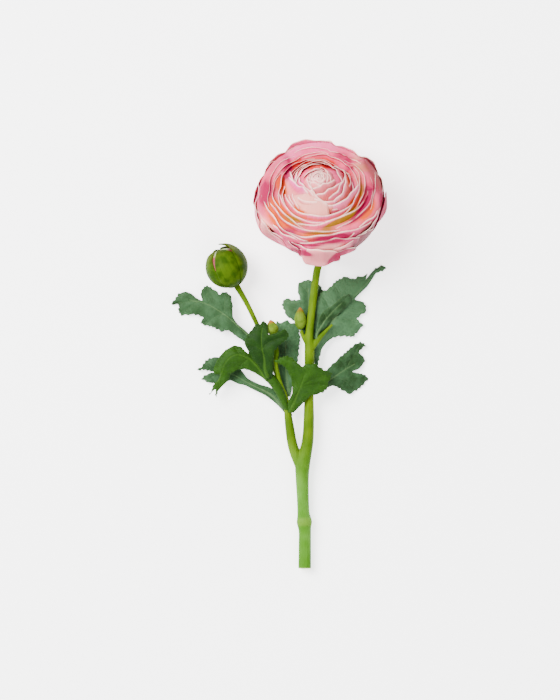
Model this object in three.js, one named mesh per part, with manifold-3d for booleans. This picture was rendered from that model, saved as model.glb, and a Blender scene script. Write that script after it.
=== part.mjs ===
// Cut ranunculus flower that lies on its back on a flat surface. Millimetres, +Z up.
// The origin is the flat spot under the bloom that rests on the surface. The stem runs along -Y.
import * as THREE from 'three';
import Module from 'manifold-3d';

// Bloom: an open cup of petals whose axis leans from +Z towards +Y
const BLOOM_CENTRE = [-0.4, 7.9, 36.4];
const BLOOM_LEAN_DEG = 43;
const BLOOM_RADIUS = 38.3;
const CUP_TAPER = 0.634;
const CUP_BASE = -36.9;
const HEART_DEPTH = 38.5;
const ROSETTE_TIP = 0.14;
const PETAL_THICKNESS = 1.1;
const PETAL_OVERLAP = 1.3;
const PETAL_SWAY = 1.1;
const CORNER_ROUND = 0.2;
const CALYX_DEPTH = 3;
const SEPAL_THICKNESS = 0.8;

// Rings of petals from the heart outwards: radius and height of their rims, how far they bulge past
// the rims, how far their widest place is below the rims, how much of the cup's depth they reach
// down, and their number. The first three close to a ball, the others are open cups round it.
const WIDEST_PLACE = 0.55;
const BALL_RIM = 16;
const OUTER_RIM = 34;
const RINGS = [
  { rim: 5.2, height: 20.5, bulge: 3, lift: 5.3, depth: 0.3, petals: 3 },
  { rim: 9.6, height: 19.2, bulge: 6.8, lift: 10, depth: 0.3, petals: 3 },
  { rim: 14.6, height: 16.3, bulge: 5, lift: 10, depth: 0.3, petals: 3 },
  { rim: 22.6, height: 12, bulge: 2.4, lift: 8, depth: 0.5, petals: 5 },
  { rim: 27.2, height: 12.1, bulge: 2.1, lift: 9, depth: 0.6, petals: 5 },
  { rim: 31.2, height: 11.6, bulge: 1.8, lift: 10, depth: 0.75, petals: 5 },
  { rim: 34.8, height: 10.4, bulge: 1.6, lift: 11, depth: 0.9, petals: 5 },
  { rim: 37.6, height: 8.6, bulge: 1.4, lift: 12, depth: 1, petals: 6 },
];
const OUTSIDE = RINGS.at(-1);

// Dents of the outline: the angle of the middle and half the width in degrees, the depth as a part
// of the radius, and whether it lies low on the wall of the cup or up at the rims.
const DENTS = [
  { middle: 231, half: 26, depth: 0.135, low: true },
  { middle: 314, half: 42, depth: 0.085, low: true },
  { middle: 60, half: 20, depth: 0.055, low: false },
  { middle: 150, half: 40, depth: 0.04, low: false },
];

// Stalks and buds
const CUT_END = [-9.1, -213];
const STEM_RADIUS = 3.9;
const NODE_RING_RADIUS = 4.7;
const STALK_RADIUS = 2.3;
const BUD_CENTRE = [-56.1, -31.1, 11.8];
const BUD_AXIS = [-0.42, 0.86, 0.28];
const BUD_RADIUS = 12.2;
const BUD_SEPAL_THICKNESS = 1;
const BUD_SEPAL_SWAY = 0.55;
const BUD_CUP_DEPTH = 2.4;
const SEPAL_HALF_WIDTH = 0.86;

// Sepals of the large bud: angle of the middle in degrees, turn of the tip from the bud's own tip,
// how much it narrows there and how far the tip stands off. The first lies in front.
const BUD_SEPALS = [
  { middle: 104, tip: 0.1, narrow: 0.3, lift: 0 },
  { middle: 168, tip: 0.1, narrow: 0.5, lift: 3.4 },
  { middle: 238, tip: 0.4, narrow: 0.5, lift: 0 },
  { middle: 305, tip: 0.4, narrow: 0.5, lift: 0 },
  { middle: 8, tip: 0.4, narrow: 0.5, lift: 0 },
];
const SMALL_BUD_RADIUS = 3.6;

// Leaves, the clearance between neighbours and the thickness of slivers that are dropped
const LEAF_THICKNESS = 0.8;
const RIB_STEPS = 12;
const CLEARANCE = 0.3;
const SLIVER = 0.03;

const COLOURS = {
  petal: [0xf2a9bd, 0.55],
  leaf: [0x4c7a44, 0.6],
  dark_leaf: [0x35601f, 0.55],
  stem: [0x86b32c, 0.5],
  bud: [0x6f9a18, 0.35],
  bud_petal: [0xc8364f, 0.5],
};

const wasm = await Module();
wasm.setup();

const vector = (x, y, z) => new THREE.Vector3(x, y, z);
const mix = THREE.MathUtils.lerp;
const smooth = THREE.MathUtils.smoothstep;
const radians = THREE.MathUtils.degToRad;
const degrees = THREE.MathUtils.radToDeg;

// A steady number between 0 and 1 for each index, so that every build gives the same petals.
function chance(index) {
  const spread = Math.sin(index * 12.9898 + 4.1) * 43758.5453;
  return spread - Math.floor(spread);
}

function solid(points, triangles) {
  return new wasm.Manifold(new wasm.Mesh({
    numProp: 3,
    vertProperties: new Float32Array(points.flatMap((point) => point.toArray())),
    triVerts: new Uint32Array(triangles.flat()),
  }));
}

function fused(solids) {
  return solids.reduce((whole, next) => whole.add(next));
}

// The largest closed surface of a fused solid, without air pockets, loose crumbs and slivers.
function onePiece(whole) {
  const shells = whole.simplify(SLIVER).decompose();
  return shells.reduce((largest, next) => (next.volume() > largest.volume() ? next : largest));
}

function geometryOf(whole) {
  const mesh = whole.getMesh();
  const geometry = new THREE.BufferGeometry();
  geometry.setAttribute('position', new THREE.BufferAttribute(mesh.vertProperties, 3));
  geometry.setIndex(new THREE.BufferAttribute(mesh.triVerts, 1));
  return geometry;
}

// Sheets, tubes and turned bodies

// Gives a surface the same thickness on both sides and closes it along its border. A level sheet
// is thickened straight up and down, so that its two faces never cross.
function sheet(points, triangles, thickness, level = false) {
  const normals = points.map(() => vector(0, 0, 0));
  const borders = new Map();
  for (const corners of triangles) {
    const [a, b, c] = corners.map((corner) => points[corner]);
    const normal = b.clone().sub(a).cross(c.clone().sub(a));
    corners.forEach((corner, side) => {
      normals[corner].add(normal);
      const next = corners[(side + 1) % 3];
      if (!borders.delete(`${next},${corner}`)) {
        borders.set(`${corner},${next}`, [corner, next]);
      }
    });
  }
  const ways = normals.map((normal) => {
    const way = normal.normalize();
    return level ? vector(0, 0, 1 / way.z) : way;
  });
  const move = (distance) => points.map(
    (point, index) => point.clone().addScaledVector(ways[index], distance),
  );
  const count = points.length;
  const faces = [...triangles];
  for (const [a, b, c] of triangles) {
    faces.push([a + count, c + count, b + count]);
  }
  for (const [a, b] of borders.values()) {
    faces.push([b, a, a + count]);
    faces.push([b, a + count, b + count]);
  }
  return solid([...move(thickness / 2), ...move(-thickness / 2)], faces);
}

// A closed round body along a list of [x, y, z, radius].
function stalk(stations, sides = 10, stepsEach = 2) {
  const path = new THREE.CatmullRomCurve3(stations.map(([x, y, z]) => vector(x, y, z)));
  const steps = (stations.length - 1) * stepsEach;
  const points = [];
  for (let step = 0; step <= steps; step += 1) {
    const place = step / stepsEach;
    const before = Math.min(Math.floor(place), stations.length - 2);
    const radius = mix(stations[before][3], stations[before + 1][3], place - before);
    const centre = path.getPoint(step / steps);
    const ahead = path.getTangent(step / steps);
    const across = ahead.clone().cross(vector(0, 0, 1)).normalize();
    const up = ahead.clone().cross(across);
    for (let side = 0; side < sides; side += 1) {
      const angle = (2 * Math.PI * side) / sides;
      points.push(centre.clone().addScaledVector(across, radius * Math.cos(angle))
        .addScaledVector(up, radius * Math.sin(angle)));
    }
  }
  return solid(points, closedRings(sides, steps));
}

// Triangles of a stack of rings with a flat fan at each end.
function closedRings(sides, steps) {
  const faces = [];
  for (let side = 0; side < sides; side += 1) {
    const next = (side + 1) % sides;
    for (let step = 0; step < steps; step += 1) {
      const here = step * sides;
      const above = here + sides;
      faces.push([here + side, here + next, above + next]);
      faces.push([here + side, above + next, above + side]);
    }
  }
  for (let side = 1; side < sides - 1; side += 1) {
    faces.push([0, side + 1, side]);
    faces.push([steps * sides, steps * sides + side, steps * sides + side + 1]);
  }
  return faces;
}

// Two directions square to an axis, the first one level.
function squareTo(axis) {
  const level = vector(0, 0, 1).cross(axis).normalize();
  return [level, axis.clone().cross(level)];
}

// A closed body round an axis from base to tip. radiusAt gives the radius from place and angle.
function turned(base, tip, radiusAt, sides, steps) {
  const length = tip.clone().sub(base);
  const [level, other] = squareTo(length.clone().normalize());
  const points = [];
  for (let step = 0; step <= steps; step += 1) {
    for (let side = 0; side < sides; side += 1) {
      const angle = (2 * Math.PI * side) / sides;
      const radius = radiusAt(step / steps, angle);
      points.push(base.clone().addScaledVector(length, step / steps)
        .addScaledVector(level, radius * Math.cos(angle))
        .addScaledVector(other, radius * Math.sin(angle)));
    }
  }
  return solid(points, closedRings(sides, steps));
}

// A surface patch: place(u, v) with u from -1 to 1 across and v from 0 to 1 along.
function patch(place, across, along, thickness) {
  const points = [];
  const triangles = [];
  for (let row = 0; row <= along; row += 1) {
    for (let column = 0; column <= across; column += 1) {
      points.push(place((2 * column) / across - 1, row / along));
    }
  }
  for (let row = 0; row < along; row += 1) {
    for (let column = 0; column < across; column += 1) {
      const corner = row * (across + 1) + column;
      const above = corner + across + 1;
      triangles.push([corner, corner + 1, above + 1]);
      triangles.push([corner, above + 1, above]);
    }
  }
  return sheet(points, triangles, thickness);
}

// Bloom

const lean = radians(BLOOM_LEAN_DEG);
const bloomAxis = vector(-0.03, Math.sin(lean), Math.cos(lean)).normalize();
const bloomRight = vector(1, 0, 0).addScaledVector(bloomAxis, -bloomAxis.x).normalize();
const bloomDown = bloomRight.clone().cross(bloomAxis).negate();

// The radius at an angle and a height, less what the dents take off.
function dented(angle, radius, height) {
  return DENTS.reduce((left, { middle, half, depth, low }) => {
    const past = THREE.MathUtils.euclideanModulo(degrees(angle) - middle + 180, 360);
    const share = low ? 1 - smooth(height, -6, 8) : smooth(height, -6, 4);
    return left * (1 - depth * share * (1 - smooth(Math.abs(past - 180), 0.7 * half, half)));
  }, radius);
}

// The point of the bloom at an angle round its axis, a radius and a height above the equator.
// The rims of the petals stand higher on the side that faces the surface.
function bloomPoint(angle, radius, height) {
  const tipped = height + ROSETTE_TIP * radius * Math.sin(angle) * smooth(height, -30, 0);
  const left = dented(angle, radius, height);
  return vector(...BLOOM_CENTRE).addScaledVector(bloomAxis, tipped)
    .addScaledVector(bloomRight, left * Math.cos(angle))
    .addScaledVector(bloomDown, left * Math.sin(angle));
}

// Radius of the cup below its widest place, where deep is the part of its depth.
const cupRadius = (widest, deep) => widest * (1 - CUP_TAPER * deep ** 1.5);

// The side view of a ring's petal: v runs from its base past its widest place to its rim.
function petalSide({ rim, height, bulge, lift, depth }, v) {
  const widest = rim + bulge;
  const close = Math.PI - Math.asin(rim / widest);
  const equator = height - lift;
  if (v < WIDEST_PLACE) {
    const deep = (1 - v / WIDEST_PLACE) * depth;
    return [cupRadius(widest, deep), mix(equator, CUP_BASE, deep)];
  }
  const turn = mix(Math.PI / 2, close, (v - WIDEST_PLACE) / (1 - WIDEST_PLACE));
  return [widest * Math.sin(turn), equator + (lift * Math.cos(turn)) / Math.cos(close)];
}

// A petal round the angle middle. It leans out on one side and in on the other, as roof tiles do.
// A petal with a reach below 1 is shorter than its ring.
function petal({ ring, middle, halfWidth, out = 0, reach = 1, sway = PETAL_SWAY, wave = 0.5, seed }) {
  const place = (u, v) => {
    const rounded = v * reach * (1 - CORNER_ROUND * Math.abs(u) ** 2.6);
    const [radius, height] = petalSide(ring, rounded);
    const ripple = wave * Math.sin(5 * u + 6 * chance(seed)) * v ** 4;
    return bloomPoint(middle + u * halfWidth, radius + sway * u + ripple + out * v, height);
  };
  return patch(place, ring.rim > BALL_RIM ? 6 : 4, ring.rim > OUTER_RIM ? 5 : 3, PETAL_THICKNESS);
}

// The heart of the flower under the petals: solid, a little smaller than the petals all over.
function heart() {
  const sides = 24;
  const outside = [[9, CUP_BASE], [13.2, CUP_BASE]];
  for (const deep of [0.85, 0.65, 0.45, 0.25, 0.08]) {
    outside.push([cupRadius(BLOOM_RADIUS - PETAL_THICKNESS / 2, deep), -HEART_DEPTH * deep]);
  }
  outside.push([35.4, 1.5], [33, 4.5], [29, 6.8], [24, 7.6], [19, 8.8], [14, 14.4], [8, 17.8]);
  const points = outside.flatMap(([radius, height]) => Array.from({ length: sides }, (none, side) => (
    bloomPoint((2 * Math.PI * side) / sides, radius, height)
  )));
  return solid(points, closedRings(sides, outside.length - 1));
}

function bloomPetals() {
  return RINGS.flatMap((ring, place) => Array.from({ length: ring.petals }, (none, number) => {
    const seed = 10 * place + number;
    return petal({
      ring,
      middle: (2 * Math.PI * (number + 0.35 * chance(seed))) / ring.petals + 2.4 * place,
      halfWidth: (Math.PI / ring.petals) * PETAL_OVERLAP,
      out: 0.8 * (chance(seed + 500) - 0.5),
      seed,
    });
  }));
}

// Low petals outside the cup: under the front, on the right and against the surface.
function outerPetals() {
  return [
    { middle: radians(-6), halfWidth: 0.3, out: 1.2, reach: 0.88, seed: 901 },
    { middle: radians(268), halfWidth: 0.44, out: 1.8, reach: 0.72, seed: 902 },
    { middle: radians(-55), halfWidth: 0.42, out: 1.2, reach: 0.8, seed: 903 },
    { middle: radians(97), halfWidth: 0.5, out: 0.8, seed: 904 },
    { middle: radians(38), halfWidth: 0.4, out: 1.2, reach: 0.97, seed: 905 },
    { middle: radians(206), halfWidth: 0.42, out: 1.4, reach: 0.86, seed: 906 },
  ].map((place) => petal({ ring: OUTSIDE, ...place }));
}

// What reaches below the surface is pressed flat.
function pressedFlat(whole) {
  const slab = new THREE.BoxGeometry(160, 160, 40).toNonIndexed();
  slab.translate(0, 0, -20);
  const places = slab.getAttribute('position');
  const names = new Map();
  const points = [];
  const corners = Array.from({ length: places.count }, (none, index) => {
    const point = vector().fromBufferAttribute(places, index);
    const name = point.toArray().join();
    if (!names.has(name)) {
      names.set(name, points.length);
      points.push(point);
    }
    return names.get(name);
  });
  const faces = Array.from({ length: corners.length / 3 }, (none, index) => (
    corners.slice(3 * index, 3 * index + 3)
  ));
  return whole.subtract(solid(points, faces));
}

function bloom() {
  return onePiece(pressedFlat(fused([heart(), ...bloomPetals(), ...outerPetals()])));
}

// Five sepals and the disc that holds them, close under the petals.
function calyx() {
  const top = CUP_BASE - CLEARANCE;
  const sides = 20;
  const outside = [[3.4, top - CALYX_DEPTH], [7, top - 2], [8.6, top - 0.9], [8, top]];
  const disc = solid(
    outside.flatMap(([radius, height]) => Array.from({ length: sides }, (none, side) => (
      bloomPoint((2 * Math.PI * side) / sides, radius, height)
    ))),
    closedRings(sides, outside.length - 1),
  );
  const sepals = Array.from({ length: 5 }, (none, number) => patch((u, v) => {
    const middle = (2 * Math.PI * (number + 0.25)) / 5;
    const width = 0.5 * (1 - 0.75 * v ** 2);
    const radius = 5 + 6.5 * v;
    return bloomPoint(middle + u * width, radius, top - 1.1 - 0.4 * v);
  }, 4, 3, SEPAL_THICKNESS));
  return onePiece(pressedFlat(fused([disc, ...sepals])));
}

// Stem

const calyxBase = bloomPoint(0, 0, CUP_BASE - CLEARANCE - CALYX_DEPTH - CLEARANCE);

function stem() {
  const bloomStalk = [
    [-6.3, -73, 10, 2.5], [-5.4, -62, 9.4, 2.35], [-3.4, -46, 7, STALK_RADIUS],
    [-1.6, -33, 4, STALK_RADIUS], [0, -27, 3.2, STALK_RADIUS],
    [...calyxBase.clone().addScaledVector(bloomAxis, -2.6).toArray(), STALK_RADIUS],
    [...calyxBase.toArray(), STALK_RADIUS],
  ];
  const main = stalk([
    [...CUT_END, STEM_RADIUS, STEM_RADIUS], [-9, -200, 4.1, 3.8], [-9, -190, 4.5, 3.8],
    [-9.2, -187.4, 4.7, 4.2], [-9.3, -185, 4.8, NODE_RING_RADIUS], [-9.5, -182.6, 4.8, 4.3],
    [-9.8, -180, 4.9, 3.8], [-10.2, -170, 5.2, 3.7], [-10.6, -157, 5.8, 4.1],
    [-10.3, -150, 6.2, 4.5], [-8.4, -142, 6.6, 3.8], [-7.2, -135, 7, 3.5],
    [-6.6, -122, 7.9, 3.2], [-6.5, -110, 8.6, 2.85], [-6.4, -100, 9.2, 2.75], [-6.2, -79, 10, 3],
    ...bloomStalk,
  ], 11);
  const leftBranch = stalk([
    [-12.2, -150, 6.2, 3.2], [-15.2, -142.5, 6.6, 3.1], [-16.8, -136.5, 7, 3],
    [-18.2, -127.5, 7.6, 2.75], [-19.2, -120, 8, 2.3], [-19.8, -114, 8.2, 2.1],
  ]);
  const budStalk = stalk([
    [-19.2, -117, 8, 1.7], [-20.6, -112, 7.8, 1.5], [-23, -104, 6.6, 1.45], [-25.6, -97, 5.8, 1.45],
    [-31.2, -81, 5.4, 1.45], [-38.2, -64.8, 6.2, 1.45], [-45, -51, 7.6, 1.45],
    [...budPoint(BUD_SEPAL_SWAY + 0.75 + CLEARANCE, 0, Math.PI).toArray(), 1.6],
  ], 8);
  const leafStalk = stalk([
    [-19.9, -116, 8.2, 1.9], [-21.2, -113, 8.9, 2.2], [-23.3, -107.5, 9.6, 2.6],
    [-26.2, -101.6, 9.9, 2.9], [-29.2, -97, 9.8, 2.8], [-31.2, -94, 10, 2.1], [-32.1, -92.6, 9.8, 1.6],
  ], 8);
  const leftBudStalk = stalk([
    [-19.6, -115, 8.4, 1.6], [-20.2, -110, 8.8, 1.35], [-24, -100.2, 10, 1.3],
    [-26.6, -89, 11.2, 1.35], [-26.2, -83, 11.7, 1.75], [-27, -76, 12, 1.3], [-27.4, -72.8, 12.2, 1.2],
  ], 8);
  const rightBudStalk = stalk([
    [-6.8, -78.5, 10, 1.6], [-9.4, -74.2, 10, 1.25], [-11.5, -69.2, 9.8, 1.2],
  ], 8);
  return onePiece(fused([main, leftBranch, budStalk, leafStalk, leftBudStalk, rightBudStalk]));
}

// Buds

const budAxis = vector(...BUD_AXIS).normalize();
const [budLevel, budOther] = squareTo(budAxis);

// A point of the large bud: distance outside its ball, angle round the axis, turn from the tip.
function budPoint(outside, angle, turn) {
  const radius = BUD_RADIUS + outside;
  return vector(...BUD_CENTRE).addScaledVector(budAxis, radius * Math.cos(turn))
    .addScaledVector(budLevel, radius * Math.sin(turn) * Math.cos(angle))
    .addScaledVector(budOther, radius * Math.sin(turn) * Math.sin(angle));
}

// Five sepals that hold the bud. Each lies over its neighbour on one side and under it on the other.
function largeBudSepals() {
  const sepals = BUD_SEPALS.map(({ middle, tip, narrow, lift }) => patch((u, v) => {
    const width = SEPAL_HALF_WIDTH * (1 - narrow * v ** 4);
    const turn = mix(Math.PI * 0.97, tip, v) + 0.35 * v * u * u;
    return budPoint(lift * v ** 3 - BUD_SEPAL_SWAY * u, radians(middle) + u * width, turn);
  }, 4, 5, BUD_SEPAL_THICKNESS));
  const base = turned(
    budPoint(0.2, 0, Math.PI),
    budPoint(-BUD_CUP_DEPTH, 0, Math.PI),
    (place) => mix(1.9, 5.4, place),
    12,
    1,
  );
  return onePiece(pressedFlat(fused([base, ...sepals])));
}

function largeBudPetals() {
  const wall = BUD_SEPAL_SWAY + BUD_SEPAL_THICKNESS / 2;
  const bottom = BUD_RADIUS - BUD_CUP_DEPTH - CLEARANCE;
  const top = BUD_RADIUS - wall - 4 * CLEARANCE;
  const span = top + bottom;
  const base = vector(...BUD_CENTRE).addScaledVector(budAxis, -bottom);
  const tip = vector(...BUD_CENTRE).addScaledVector(budAxis, top);
  const ball = (place) => Math.sqrt(Math.max(top ** 2 - (place * span - bottom) ** 2, 0.16));
  return turned(base, tip, (place, angle) => ball(place) * (1 - 0.015 * Math.cos(5 * angle)), 15, 8);
}

function smallBud(base, tip) {
  const drop = (place) => Math.sin(Math.PI * place ** 0.8) ** 0.75;
  return turned(vector(...base), vector(...tip), (place, angle) => (
    0.5 + SMALL_BUD_RADIUS * 0.86 * drop(place) * (1 + 0.05 * Math.cos(5 * angle))
  ), 15, 9);
}

// Leaves

// A blade from its midrib and its edge. The edge runs clockwise from the base round the tip. Seen
// from above, each side of the midrib is cut into triangles that don't overlap.
function blade({ midrib, edge }) {
  const line = new THREE.CatmullRomCurve3(midrib.map((place) => vector(...place)));
  const rib = line.getPoints(RIB_STEPS);
  const border = edge.map((place) => vector(...place));
  const distances = border.map((place) => place.distanceTo(rib[RIB_STEPS]));
  const turn = distances.indexOf(Math.min(...distances));
  const points = [...rib, ...border];
  const ribPath = rib.map((place, index) => index);
  const edgePath = border.map((place, index) => rib.length + index);
  const halves = [
    [...edgePath.slice(0, turn + 1), ...ribPath.toReversed()],
    [...edgePath.slice(turn), ...ribPath],
  ];
  const triangles = halves.flatMap((path) => {
    const plan = path.map((index) => new THREE.Vector2(points[index].x, points[index].y));
    return THREE.ShapeUtils.triangulateShape(plan, []).map((corners) => {
      const [a, b, c] = corners.map((corner) => path[corner]);
      const [from, to, third] = corners.map((corner) => plan[corner]);
      return to.clone().sub(from).cross(third.clone().sub(from)) > 0 ? [a, b, c] : [a, c, b];
    });
  });
  return sheet(points, triangles, LEAF_THICKNESS, true);
}

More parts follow.
